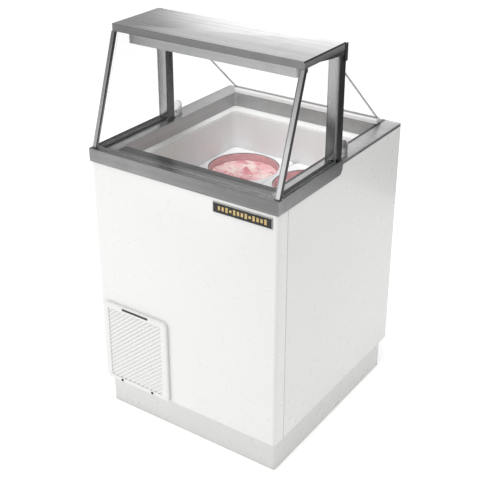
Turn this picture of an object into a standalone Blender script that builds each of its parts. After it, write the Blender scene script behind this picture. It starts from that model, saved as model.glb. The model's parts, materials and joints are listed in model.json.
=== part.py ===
"""Ice cream dipping cabinet with a sneeze guard, a flip-up rear lid and four lift-out cans.

Metres, +Z up, origin on the floor under the middle of the cabinet body. -Y is the customer's side.
"""
import math

import bmesh
import bpy
from mathutils import Matrix, Vector

# ---- driving dimensions -------------------------------------------------------------------------
BODY_HALF_X = 0.330
BODY_FRONT_Y = -0.358
BODY_REAR_Y = 0.358
PLINTH_HEIGHT = 0.110
PLINTH_INSET_SIDE = 0.012
PLINTH_INSET_FRONT = 0.021
PLINTH_INSET_REAR = 0.017
DECK_TOP = 0.908
CANOPY_TOP = 1.262
CANOPY_HALF_X = 0.325
CANOPY_FRONT_Y = -0.2385
CANOPY_REAR_Y = -0.0235
CANOPY_FLANGE = 0.022

GAP = 0.0003            # clearance between pieces that touch
SHEET = 0.0015          # body and deck sheet
CORNER_STEPS = 6        # segments in a quarter of a round corner

# tub, measured inside the liner
TUB_HALF_X = 0.252
TUB_FRONT_Y = -0.232
TUB_REAR_Y = 0.274
TUB_FLOOR = 0.462
TUB_CORNER = 0.022
LINER_TOP = 0.8495
FOAM_BOTTOM = 0.392

# opening in the deck
OPENING_HALF_X = 0.268
OPENING_FRONT_Y = -0.276
OPENING_REAR_Y = 0.302
OPENING_CORNER = 0.012
OPENING_LIP_BOTTOM = 0.862

# cans and their skirts, two by two
CELL_PITCH = 0.252
SKIRT_TOP = 0.725
SKIRT_HALF = 0.1252
SKIRT_HOLE_R = 0.1183
CAN_RIM_R = 0.1168
CAN_BODY_R = 0.1145
CAN_HEIGHT = 0.258
ICE_CREAM_TOP = 0.694

# guard frame
RAIL_BOTTOM = 0.872
RAIL_TOP = 0.914
RAIL_OUTER_X = 0.3323
RAIL_INNER_X = 0.3040
RAIL_FRONT_Y = -0.361
RAIL_REAR_Y = -0.330
POST_INNER_X = 0.2855
POST_OUTER_X = 0.3220
POST_FRONT_Y = -0.044
POST_REAR_Y = -0.008
CHANNEL_INNER_X = 0.310
CHANNEL_OUTER_X = 0.327
CHANNEL_DEPTH = 0.015
CHANNEL_FOOT_Y = -0.3500
CHANNEL_HEAD_Y = -0.2383
GLASS = 0.004
GLASS_INNER_X = 0.3165

# lid
LID_PIN_Y = -0.008
LID_PIN_Z = 1.219
LID_SLOPE = math.radians(42.5)
LID_HALF_X = 0.272
LID_PANEL_START = 0.014
LID_PANEL_END = 0.432
LID_PANEL_HALF_T = 0.003
PIN_R = 0.0025
BARREL_R = 0.0050

# grille in the front panel
GRILLE_X = (-0.308, -0.060)
GRILLE_Z = (0.112, 0.400)
GRILLE_DEPTH = 0.010
FIELD_X = (-0.293, -0.083)
FIELD_Z = (0.128, 0.382)
RIB_ANGLE = math.radians(40)
RIB_PITCH = 0.0113
SLOT_WIDTH = 0.0050


# ---- scene and materials ------------------------------------------------------------------------
for old in list(bpy.data.objects):
    bpy.data.objects.remove(old, do_unlink=True)


def make_material(name, colour, roughness, metallic=0.0, transmission=0.0):
    material = bpy.data.materials.new(name)
    material.use_nodes = True
    shader = material.node_tree.nodes["Principled BSDF"]
    shader.inputs["Base Color"].default_value = (*colour, 1.0)
    shader.inputs["Roughness"].default_value = roughness
    shader.inputs["Metallic"].default_value = metallic
    shader.inputs["Transmission Weight"].default_value = transmission
    return material


WHITE_PAINT = ("white_paint", (0.86, 0.86, 0.85), 0.28, 0.0, 0.0)
GREY_PAINT = ("grey_paint", (0.62, 0.62, 0.61), 0.40, 0.0, 0.0)
STAINLESS = ("stainless", (0.55, 0.55, 0.56), 0.30, 1.0, 0.0)
DARK_METAL = ("dark_metal", (0.05, 0.05, 0.055), 0.42, 0.4, 0.0)
WHITE_PLASTIC = ("white_plastic", (0.88, 0.88, 0.87), 0.35, 0.0, 0.0)
LINER_PLASTIC = ("liner", (0.74, 0.74, 0.74), 0.35, 0.0, 0.0)
BLACK_PLASTIC = ("black_plastic", (0.02, 0.02, 0.02), 0.45, 0.0, 0.0)
RUBBER = ("rubber", (0.03, 0.03, 0.03), 0.70, 0.0, 0.0)
CLEAR = ("clear", (0.95, 0.97, 0.97), 0.05, 0.0, 1.0)
FOAM = ("foam", (0.80, 0.68, 0.42), 0.90, 0.0, 0.0)
COPPER = ("copper", (0.72, 0.38, 0.22), 0.35, 1.0, 0.0)
ALUMINIUM = ("aluminium", (0.70, 0.71, 0.72), 0.40, 1.0, 0.0)
PAPER = ("paper_board", (0.83, 0.80, 0.76), 0.75, 0.0, 0.0)
ICE_CREAM = ("ice_cream", (0.86, 0.47, 0.50), 0.55, 0.0, 0.0)
LAMP = ("lamp", (0.95, 0.95, 0.92), 0.25, 0.0, 0.0)


# ---- helpers ------------------------------------------------------------------------------------
def add_object(name, bm, look, guide=False):
    """Close the bmesh into a named object with a material of its own."""
    bmesh.ops.recalc_face_normals(bm, faces=bm.faces)
    mesh = bpy.data.meshes.new(name)
    bm.to_mesh(mesh)
    bm.free()
    mesh.shade_smooth()
    mesh.set_sharp_from_angle(angle=math.radians(35))
    obj = bpy.data.objects.new(name, mesh)
    bpy.context.scene.collection.objects.link(obj)
    if guide:
        obj.hide_render = True
        obj.display_type = "WIRE"
    else:
        mesh.materials.append(make_material(name + "_" + look[0], *look[1:]))
    return obj


def box_mesh(bm, low, high):
    middle = [(a + b) / 2 for a, b in zip(low, high)]
    size = [b - a for a, b in zip(low, high)]
    matrix = Matrix.Translation(middle) @ Matrix.Diagonal((*size, 1.0))
    return bmesh.ops.create_cube(bm, size=1.0, matrix=matrix)["verts"]


def add_box(name, low, high, look, bevel=0.0, guide=False):
    bm = bmesh.new()
    box_mesh(bm, low, high)
    if bevel:
        bmesh.ops.bevel(bm, geom=bm.edges[:], offset=bevel, segments=2, profile=0.5, affect="EDGES")
    return add_object(name, bm, look, guide)


def add_boxes(name, corners, guide=True):
    """Several separate boxes in one cutter."""
    bm = bmesh.new()
    for low, high in corners:
        box_mesh(bm, low, high)
    return add_object(name, bm, WHITE_PAINT, guide)


def arc(centre, radius, start_deg, end_deg, steps=CORNER_STEPS):
    return [
        (
            centre[0] + radius * math.cos(math.radians(start_deg + (end_deg - start_deg) * i / steps)),
            centre[1] + radius * math.sin(math.radians(start_deg + (end_deg - start_deg) * i / steps)),
        )
        for i in range(steps + 1)
    ]


def prism(name, outline, axis, start, end, look, guide=False):
    """Extrude a flat outline along an axis. Outline points are (y,z), (x,z) or (x,y)."""
    bm = bmesh.new()
    place = {
        "x": lambda a, b, t: (t, a, b),
        "y": lambda a, b, t: (a, t, b),
        "z": lambda a, b, t: (a, b, t),
    }[axis]
    first = [bm.verts.new(place(a, b, start)) for a, b in outline]
    second = [bm.verts.new(place(a, b, end)) for a, b in outline]
    bm.faces.new(first)
    bm.faces.new(reversed(second))
    count = len(outline)
    for i in range(count):
        j = (i + 1) % count
        bm.faces.new((first[i], second[i], second[j], first[j]))
    return add_object(name, bm, look, guide)


def rounded_rectangle(x0, x1, y0, y1, radius):
    points = []
    for cx, cy, start in (
        (x1 - radius, y0 + radius, -90),
        (x1 - radius, y1 - radius, 0),
        (x0 + radius, y1 - radius, 90),
        (x0 + radius, y0 + radius, 180),
    ):
        points += arc((cx, cy), radius, start, start + 90)
    return points


def loop_solid(name, loops, look, closed):
    """Skin rounded-rectangle loops (x0, x1, y0, y1, radius, z); an open run is capped at both ends."""
    bm = bmesh.new()
    rings = []
    for x0, x1, y0, y1, radius, z in loops:
        rings.append([bm.verts.new((x, y, z)) for x, y in rounded_rectangle(x0, x1, y0, y1, radius)])
    pairs = list(zip(rings, rings[1:]))
    if closed:
        pairs.append((rings[-1], rings[0]))
    else:
        bm.faces.new(rings[0])
        bm.faces.new(rings[-1])
    for lower, upper in pairs:
        count = len(lower)
        for i in range(count):
            j = (i + 1) % count
            bm.faces.new((lower[i], lower[j], upper[j], upper[i]))
    return add_object(name, bm, look)


def turned(name, profile, look, centre=(0, 0, 0), axis="z", steps=32, guide=False):
    """Turn a closed (radius, height) profile about an axis through centre."""
    bm = bmesh.new()
    rings = []
    for radius, height in profile:
        if radius < 1e-6:
            rings.append([bm.verts.new((0, 0, height))])
        else:
            rings.append([
                bm.verts.new((
                    radius * math.cos(2 * math.pi * i / steps),
                    radius * math.sin(2 * math.pi * i / steps),
                    height,
                ))
                for i in range(steps)
            ])
    for lower, upper in zip(rings, rings[1:] + rings[:1]):
        if len(lower) == 1 and len(upper) == 1:
            continue
        for i in range(steps):
            j = (i + 1) % steps
            corners = [lower[i % len(lower)], lower[j % len(lower)]]
            corners += [upper[j % len(upper)], upper[i % len(upper)]]
            bm.faces.new(list(dict.fromkeys(corners)))
    turn = {
        "z": Matrix.Identity(4),
        "y": Matrix.Rotation(math.radians(-90), 4, "X"),
        "x": Matrix.Rotation(math.radians(90), 4, "Y"),
    }[axis]
    bmesh.ops.transform(bm, matrix=Matrix.Translation(centre) @ turn, verts=bm.verts)
    return add_object(name, bm, look, guide)


def tube(name, points, radius, look, sides_quarter=1, widths=None):
    """A bent tube as a poly curve with filled caps, swollen where widths says so."""
    curve = bpy.data.curves.new(name, "CURVE")
    curve.dimensions = "3D"
    curve.bevel_depth = radius
    curve.bevel_resolution = sides_quarter
    curve.use_fill_caps = True
    spline = curve.splines.new("POLY")
    spline.points.add(len(points) - 1)
    for point, place in zip(spline.points, points):
        point.co = (*place, 1.0)
    for point, width in zip(spline.points, widths or [1] * len(points)):
        point.radius = width
    obj = bpy.data.objects.new(name, curve)
    bpy.context.scene.collection.objects.link(obj)
    curve.materials.append(make_material(name + "_" + look[0], *look[1:]))
    return obj


def combine(target, tool, operation):
    """Add a Boolean with a guide object that the model itself leaves out."""
    modifier = target.modifiers.new(tool.name, "BOOLEAN")
    modifier.operation = operation
    modifier.solver = "EXACT"
    modifier.object = tool
    return target


def cut(target, tool):
    return combine(target, tool, "DIFFERENCE")


def join(target, tool):
    return combine(target, tool, "UNION")


def pivot_at(name, place, children):
    """Hang pieces on an empty that sits on their joint's axis."""
    empty = bpy.data.objects.new(name, None)
    bpy.context.scene.collection.objects.link(empty)
    empty.location = place
    for child in children:
        child.data.transform(Matrix.Translation(-Vector(place)))
        child.parent = empty
    return empty


def mirror_x(outline):
    return [(-x, y) for x, y in outline]


def grow(rectangle, amount):
    x0, x1, y0, y1 = rectangle
    return (x0 - amount, x1 + amount, y0 - amount, y1 + amount)


# ---- cabinet body -------------------------------------------------------------------------------
def build_plinth():
    """Welded base: a kick skirt with a folded-in foot flange, under the pan that carries the body."""
    outer = (
        -BODY_HALF_X + PLINTH_INSET_SIDE,
        BODY_HALF_X - PLINTH_INSET_SIDE,
        BODY_FRONT_Y + PLINTH_INSET_FRONT,
        BODY_REAR_Y - PLINTH_INSET_REAR,
    )
    pan = (-BODY_HALF_X + 0.001, BODY_HALF_X - 0.001, BODY_FRONT_Y + 0.001, BODY_REAR_Y - 0.001)
    wall = 0.002
    foot = 0.030
    loop_solid("plinth", [
        (*grow(outer, -wall), 0.004, PLINTH_HEIGHT - wall),
        (*grow(outer, -wall), 0.004, wall),
        (*grow(outer, -foot), 0.004, wall),
        (*grow(outer, -foot), 0.004, 0.0),
        (*outer, 0.006, 0.0),
        (*outer, 0.006, PLINTH_HEIGHT - wall),
        (*pan, 0.009, PLINTH_HEIGHT - wall),
        (*pan, 0.009, PLINTH_HEIGHT),
    ], WHITE_PAINT, closed=False)


def build_panels():
    bottom = PLINTH_HEIGHT + GAP
    wrap_y = -0.3077
    lip_x = 0.320
    corner = 0.010
    edge = 0.003
    front = [(-lip_x, wrap_y)]
    front += arc((-BODY_HALF_X + edge, wrap_y - edge), edge, 90, 180, 3)
    front += arc((-BODY_HALF_X + corner, BODY_FRONT_Y + corner), corner, 180, 270)
    front += arc((BODY_HALF_X - corner, BODY_FRONT_Y + corner), corner, 270, 360)
    front += arc((BODY_HALF_X - edge, wrap_y - edge), edge, 0, 90, 3)
    front += [(lip_x, wrap_y), (lip_x, wrap_y - SHEET)]
    front += arc((BODY_HALF_X - edge, wrap_y - edge), edge - SHEET, 90, 0, 3)
    front += arc((BODY_HALF_X - corner, BODY_FRONT_Y + corner), corner - SHEET, 360, 270)
    front += arc((-BODY_HALF_X + corner, BODY_FRONT_Y + corner), corner - SHEET, 270, 180)
    front += arc((-BODY_HALF_X + edge, wrap_y - edge), edge - SHEET, 180, 90, 3)
    front += [(-lip_x, wrap_y - SHEET)]
    panel = prism("front_panel", front, "z", bottom, 0.897, WHITE_PAINT)
    window = add_box(
        "grille_window", (FIELD_X[0] - 0.003, -0.370, FIELD_Z[0] - 0.002),
        (FIELD_X[1] + 0.003, -0.340, FIELD_Z[1] + 0.004), WHITE_PAINT, guide=True,
    )
    cut(panel, window)

    side_front = wrap_y + 0.0016
    side = [(lip_x, side_front)]
    side += arc((BODY_HALF_X - edge, side_front + edge), edge, -90, 0, 3)
    side += [(BODY_HALF_X, BODY_REAR_Y), (BODY_HALF_X - SHEET, BODY_REAR_Y)]
    side += arc((BODY_HALF_X - edge, side_front + edge), edge - SHEET, 0, -90, 3)
    side += [(lip_x, side_front + SHEET)]
    prism("right_side_panel", side, "z", bottom, 0.8987, WHITE_PAINT)
    prism("left_side_panel", mirror_x(side), "z", bottom, 0.8987, WHITE_PAINT)

    rear = add_box(
        "rear_panel",
        (-BODY_HALF_X + SHEET + GAP, BODY_REAR_Y - SHEET, bottom),
        (BODY_HALF_X - SHEET - GAP, BODY_REAR_Y, 0.894),
        WHITE_PAINT,
    )
    slots = []
    for row in range(8):
        for x in (-0.235, -0.075):
            z = 0.170 + row * 0.024
            slots.append(((x - 0.065, 0.35, z), (x + 0.065, 0.37, z + 0.009)))
    cut(rear, add_boxes("rear_slots", slots))
    hole = turned(
        "rear_control_holes", [(0, -0.01), (0.0053, -0.01), (0.0053, 0.01), (0, 0.01)], WHITE_PAINT,
        (0.215, BODY_REAR_Y, 0.300), "y", 16, guide=True,
    )
    cut(rear, hole)
    gland_hole = turned(
        "rear_gland_hole", [(0, -0.01), (0.0093, -0.01), (0.0093, 0.01), (0, 0.01)], WHITE_PAINT,
        (0.215, BODY_REAR_Y, 0.175), "y", 16, guide=True,
    )
    cut(rear, gland_hole)


TUB = (-TUB_HALF_X, TUB_HALF_X, TUB_FRONT_Y, TUB_REAR_Y)
OPENING = (-OPENING_HALF_X, OPENING_HALF_X, OPENING_FRONT_Y, OPENING_REAR_Y)
COIL_CORNER = TUB_CORNER + SHEET + 0.0065


def build_tub():
    flange = grow(OPENING, 0.0045)
    flange_corner = OPENING_CORNER + 0.0045
    loop_solid("tub_liner", [
        (*grow(TUB, SHEET), TUB_CORNER + SHEET, TUB_FLOOR - SHEET),
        (*grow(TUB, SHEET), TUB_CORNER + SHEET, LINER_TOP - SHEET),
        (*flange, flange_corner, LINER_TOP - SHEET),
        (*flange, flange_corner, LINER_TOP),
        (*TUB, TUB_CORNER, LINER_TOP),
        (*TUB, TUB_CORNER, TUB_FLOOR),
    ], LINER_PLASTIC, closed=False)

    strip_top = OPENING_LIP_BOTTOM - GAP
    strip_bottom = LINER_TOP + GAP
    inner = grow(TUB, SHEET)
    loop_solid("breaker_strip", [
        (*grow(OPENING, 0.004), OPENING_CORNER + 0.004, strip_bottom),
        (*grow(OPENING, 0.004), OPENING_CORNER + 0.004, strip_top),
        (*grow(OPENING, -0.001), OPENING_CORNER - 0.001, strip_top),
        (*inner, TUB_CORNER + SHEET, strip_bottom + 0.0062),
        (*inner, TUB_CORNER + SHEET, strip_bottom),
    ], WHITE_PLASTIC, closed=True)

    cavity = grow(TUB, 0.0155)
    step = grow(OPENING, 0.0075)
    outer = (-0.3192, 0.3192, BODY_FRONT_Y + 0.0035, BODY_REAR_Y - 0.0032)
    step_z = LINER_TOP - SHEET - GAP
    loop_solid("foam_insulation", [
        (*outer, 0.012, FOAM_BOTTOM),
        (*outer, 0.012, 0.894),
        (*step, OPENING_CORNER + 0.0075, 0.894),
        (*step, OPENING_CORNER + 0.0075, step_z),
        (*cavity, TUB_CORNER + 0.0155, step_z),
        (*cavity, TUB_CORNER + 0.0155, TUB_FLOOR - SHEET - GAP),
    ], FOAM, closed=False)

    coil_rect = grow(TUB, SHEET + 0.0065)
    loop_points = rounded_rectangle(*coil_rect, COIL_CORNER)
    turns = 6
    pitch = 0.052
    coil = []
    count = len(loop_points)
    for i in range(turns * count):
        x, y = loop_points[i % count]
        coil.append((x, y, 0.500 + pitch * i / count))
    tube("evaporator_coil", coil, 0.0048, COPPER, sides_quarter=0)


def build_deck():
    outer = (-BODY_HALF_X, BODY_HALF_X, BODY_FRONT_Y - 0.0005, BODY_REAR_Y + 0.002)
    edge_z = 0.899
    soft = 0.0010
    deck = loop_solid("deck_top", [
        (*OPENING, OPENING_CORNER, OPENING_LIP_BOTTOM),
        (*OPENING, OPENING_CORNER, DECK_TOP - soft),
        (*grow(OPENING, soft), OPENING_CORNER + soft, DECK_TOP),
        (*grow(outer, -soft), 0.004, DECK_TOP),
        (*outer, 0.005, DECK_TOP - soft),
        (*outer, 0.005, edge_z),
        (*grow(outer, -SHEET), 0.0035, edge_z),
        (*grow(outer, -SHEET), 0.0035, DECK_TOP - SHEET),
        (*grow(OPENING, SHEET), OPENING_CORNER + SHEET, DECK_TOP - SHEET),
        (*grow(OPENING, SHEET), OPENING_CORNER + SHEET, OPENING_LIP_BOTTOM),
    ], STAINLESS, closed=True)
    drop = add_box(
        "deck_rear_drop",
        (-BODY_HALF_X + 0.006, BODY_REAR_Y + 0.0006, 0.860),
        (BODY_HALF_X - 0.006, BODY_REAR_Y + 0.0019, 0.9005),
        STAINLESS, guide=True,
    )
    join(deck, drop)


# ---- guard --------------------------------------------------------------------------------------
def build_rails():
    seat = DECK_TOP + GAP
    skirt_inner = 0.3303
    front = [
        (RAIL_FRONT_Y, RAIL_BOTTOM), (RAIL_FRONT_Y, RAIL_TOP - 0.001), (RAIL_FRONT_Y + 0.001, RAIL_TOP),
        (RAIL_REAR_Y - 0.001, RAIL_TOP), (RAIL_REAR_Y, RAIL_TOP - 0.001), (RAIL_REAR_Y, seat),
        (-0.3590, seat), (-0.3590, RAIL_BOTTOM),
    ]
    rail = prism("guard_front_rail", front, "x", -RAIL_OUTER_X, RAIL_OUTER_X, STAINLESS)
    for side in (-1, 1):
        xs = sorted((side * skirt_inner, side * (RAIL_OUTER_X - 0.0001)))
        stub = add_box(
            "rail_corner_" + ("left" if side < 0 else "right"),
            (xs[0], -0.3605, RAIL_BOTTOM + 0.0001), (xs[1], -0.3301, RAIL_TOP - 0.002), STAINLESS, guide=True,
        )
        join(rail, stub)

    rail_start = RAIL_REAR_Y + GAP
    rail_end = POST_FRONT_Y - GAP
    lip_top = RAIL_TOP + 0.001
    floor_z = 0.9103
    section = [
        (RAIL_INNER_X, seat), (skirt_inner, seat), (skirt_inner, RAIL_BOTTOM),
        (RAIL_OUTER_X, RAIL_BOTTOM), (RAIL_OUTER_X, lip_top), (skirt_inner, lip_top), (skirt_inner, floor_z),
        (RAIL_INNER_X + 0.002, floor_z), (RAIL_INNER_X + 0.002, lip_top), (RAIL_INNER_X, lip_top),
    ]
    tail = [
        (-0.060, RAIL_BOTTOM + 0.0001), (-0.030, RAIL_BOTTOM + 0.0001), (-0.020, RAIL_BOTTOM + 0.012),
        (-0.016, lip_top - 0.004), (-0.020, lip_top - 0.0001), (-0.060, lip_top - 0.0001),
    ]
    gasket = [
        (0.3063, floor_z + GAP), (0.3300, floor_z + GAP), (0.3300, 0.9143), (0.3208, 0.9143),
        (0.3208, 0.9120), (0.3162, 0.9120), (0.3162, 0.9143), (0.3063, 0.9143),
    ]
    for side, name in ((-1, "left"), (1, "right")):
        shape = section if side > 0 else mirror_x(section)
        side_rail = prism("guard_side_rail_" + name, shape, "y", rail_start, rail_end, STAINLESS)
        start, end = sorted((side * (skirt_inner + 0.0001), side * (RAIL_OUTER_X - 0.0001)))
        join(side_rail, prism("rail_tail_" + name, tail, "x", start, end, STAINLESS, guide=True))
        strip = gasket if side > 0 else mirror_x(gasket)
        prism("glass_gasket_" + name, strip, "y", rail_start, rail_end, RUBBER)


def build_posts():
    foot_z = DECK_TOP + GAP
    head_z = CANOPY_TOP - CANOPY_FLANGE - GAP
    wall = 0.002
    for side, name in ((-1, "left"), (1, "right")):
        x0, x1 = sorted((side * POST_INNER_X, side * POST_OUTER_X))
        post = loop_solid("post_" + name, [
            (x0, x1, POST_FRONT_Y, POST_REAR_Y, 0.003, foot_z),
            (x0, x1, POST_FRONT_Y, POST_REAR_Y, 0.003, head_z),
            (x0 + wall, x1 - wall, POST_FRONT_Y + wall, POST_REAR_Y - wall, 0.001, head_z),
            (x0 + wall, x1 - wall, POST_FRONT_Y + wall, POST_REAR_Y - wall, 0.001, foot_z),
        ], STAINLESS, closed=True)

        ear_x0, ear_x1 = sorted((side * 0.290, side * 0.318))
        foot = add_box(
            "post_foot_" + name, (ear_x0, POST_REAR_Y - 0.001, foot_z), (ear_x1, 0.0350, foot_z + 0.003),
            STAINLESS, guide=True,
        )
        ear = [(ear_x0 + 0.0001, foot_z + 0.001), (ear_x1 - 0.0001, foot_z + 0.001)]
        ear += arc(((ear_x0 + ear_x1) / 2, 0.940), (ear_x1 - ear_x0) / 2 - 0.0001, 0, 180, 8)
        join(post, foot)
        join(post, prism("post_ear_" + name, ear, "y", 0.0315, 0.0345, STAINLESS, guide=True))


def slanted_block(name, x0, x1, foot, head, look):
    """A bar whose foot and head rectangles (y0, y1, z) differ, so that it leans."""
    bm = bmesh.new()
    rows = []
    for y0, y1, z in (foot, head):
        rows.append([bm.verts.new(place) for place in ((x0, y0, z), (x1, y0, z), (x1, y1, z), (x0, y1, z))])
    bm.faces.new(rows[0])
    bm.faces.new(rows[1])
    for i in range(4):
        j = (i + 1) % 4
        bm.faces.new((rows[0][i], rows[0][j], rows[1][j], rows[1][i]))
    return add_object(name, bm, look)


def build_glazing():
    foot_z = RAIL_TOP + 0.0013
    head_z = CANOPY_TOP - CANOPY_FLANGE - GAP
    lean = (CHANNEL_HEAD_Y - CHANNEL_FOOT_Y) / (head_z - foot_z)
    for side, name in ((-1, "left"), (1, "right")):
        x0, x1 = sorted((side * CHANNEL_INNER_X, side * CHANNEL_OUTER_X))
        slanted_block(
            "front_channel_" + name, x0, x1,
            (CHANNEL_FOOT_Y, CHANNEL_FOOT_Y + CHANNEL_DEPTH, foot_z),
            (CHANNEL_HEAD_Y, CHANNEL_HEAD_Y + CHANNEL_DEPTH, head_z), STAINLESS,
        )
        glass_foot = 0.9123
        step_z = RAIL_TOP + GAP
        step_y = RAIL_REAR_Y + GAP
        rear_y = POST_FRONT_Y - GAP
        front_at = CHANNEL_FOOT_Y + CHANNEL_DEPTH + 0.0005
        pane = [
            (step_y, glass_foot), (rear_y, glass_foot), (rear_y, head_z),
            (front_at + lean * (head_z - foot_z), head_z), (front_at + lean * (step_z - foot_z), step_z),
            (step_y, step_z),
        ]
        start, end = sorted((side * GLASS_INNER_X, side * (GLASS_INNER_X + GLASS)))
        prism("side_glass_" + name, pane, "x", start, end, CLEAR)

    glass_y = CHANNEL_FOOT_Y + 0.010
    foot = RAIL_TOP + GAP
    foot_y = glass_y + lean * (foot - foot_z)
    head_y = glass_y + lean * (head_z - foot_z)
    half = CHANNEL_INNER_X - GAP
    slanted_block(
        "front_glass", -half, half, (foot_y, foot_y + GLASS, foot), (head_y, head_y + GLASS, head_z), CLEAR,
    )


def build_canopy():
    top = (-CANOPY_HALF_X, CANOPY_HALF_X, CANOPY_FRONT_Y, CANOPY_REAR_Y)
    bottom_z = CANOPY_TOP - CANOPY_FLANGE
    soft = 0.002
    shelf = loop_solid("canopy_shelf", [
        (*grow(top, -SHEET), 0.0025, CANOPY_TOP - SHEET),
        (*grow(top, -SHEET), 0.0025, bottom_z),
        (*top, 0.004, bottom_z),
        (*top, 0.004, CANOPY_TOP - soft),
        (*grow(top, -soft * 0.3), 0.0037, CANOPY_TOP - soft * 0.3),
        (*grow(top, -soft), 0.002, CANOPY_TOP),
    ], STAINLESS, closed=False)

    for side, name in ((-1, "left"), (1, "right")):
        web = [(-0.150, bottom_z + 0.004), (-0.150, bottom_z - 0.001), (-0.118, bottom_z - 0.005)]
        web += [(-0.085, bottom_z - 0.009), (-0.050, bottom_z - 0.012), (-0.026, bottom_z - 0.014)]
        web += [(-0.026, bottom_z + 0.004)]
        x0, x1 = sorted((side * (POST_OUTER_X + GAP), side * (CANOPY_HALF_X - 0.0004)))
        join(shelf, prism("canopy_bracket_" + name, web, "x", x0, x1, STAINLESS, guide=True))


def build_lamp():
    x = 0.286
    y0, y1 = -0.2103, -0.150
    z0, z1 = 1.203, 1.2600
    wall = 0.0012
    outer = (-x, x, y0, y1)
    housing = loop_solid("lamp_housing", [
        (*grow(outer, -wall), 0.0018, z1 - wall),
        (*grow(outer, -wall), 0.0018, z0),
        (*outer, 0.003, z0),
        (*outer, 0.003, z1),
    ], STAINLESS, closed=False)
    add_box(
        "lamp_diffuser",
        (-x + wall + 0.001, y0 + wall + 0.001, z0 + 0.001),
        (x - wall - 0.001, y1 - wall - 0.001, z0 + 0.003), LAMP,
    )
    tube_y, tube_z = -0.180, 1.230
    half = 0.255
    cap = 0.018
    turned("lamp_tube", [
        (0, -half - cap), (0.012, -half - cap), (0.012, -half), (0.008, -half), (0.008, half),
        (0.012, half), (0.012, half + cap), (0, half + cap),
    ], LAMP, (0, tube_y, tube_z), "x", 16)
    for side, name in ((-1, "left"), (1, "right")):
        block_x0, block_x1 = sorted((side * half, side * (half + cap)))
        join(housing, add_box(
            "lamp_holder_" + name, (block_x0, tube_y - 0.010, tube_z + 0.012 + GAP),
            (block_x1, tube_y + 0.010, z1 - wall + 0.0005), STAINLESS, guide=True,
        ))
    centre_z = 1.221
    join(housing, add_box(
        "switch_bezel", (0.192, y1 - 0.0006, 1.2085), (0.218, y1 + 0.0033, 1.2335), STAINLESS, guide=True,
    ))
    cut(housing, add_box(
        "switch_window", (0.1955, y1 - 0.010, 1.2105), (0.2145, y1 + 0.010, 1.2315), STAINLESS, guide=True,
    ))
    tilt = math.radians(-7)
    shape = []
    for y, z in ((-0.004, -0.0088), (0.0040, -0.0092), (0.0028, 0.0), (0.0040, 0.0092), (-0.004, 0.0088)):
        shape.append((
            y1 + 0.0012 + y * math.cos(tilt) - z * math.sin(tilt),
            centre_z + y * math.sin(tilt) + z * math.cos(tilt),
        ))
    rocker = prism("switch_rocker", shape, "x", 0.1963, 0.2137, BLACK_PLASTIC)
    pivot_at("switch_pivot", (0.205, y1 + 0.0012, centre_z), [rocker])


# ---- lid ----------------------------------------------------------------------------------------
def on_lid(along, across):
    """World (y, z) of a point given along the closed lid's slope and across it."""
    y = LID_PIN_Y + along * math.cos(LID_SLOPE) + across * math.sin(LID_SLOPE)
    z = LID_PIN_Z - along * math.sin(LID_SLOPE) + across * math.cos(LID_SLOPE)
    return (y, z)


def barrel(name, x0, x1):
    return turned(
        name, [(0, x0), (BARREL_R, x0), (BARREL_R, x1), (0, x1)], DARK_METAL,
        (0, LID_PIN_Y, LID_PIN_Z), "x", 16, guide=True,
    )


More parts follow.
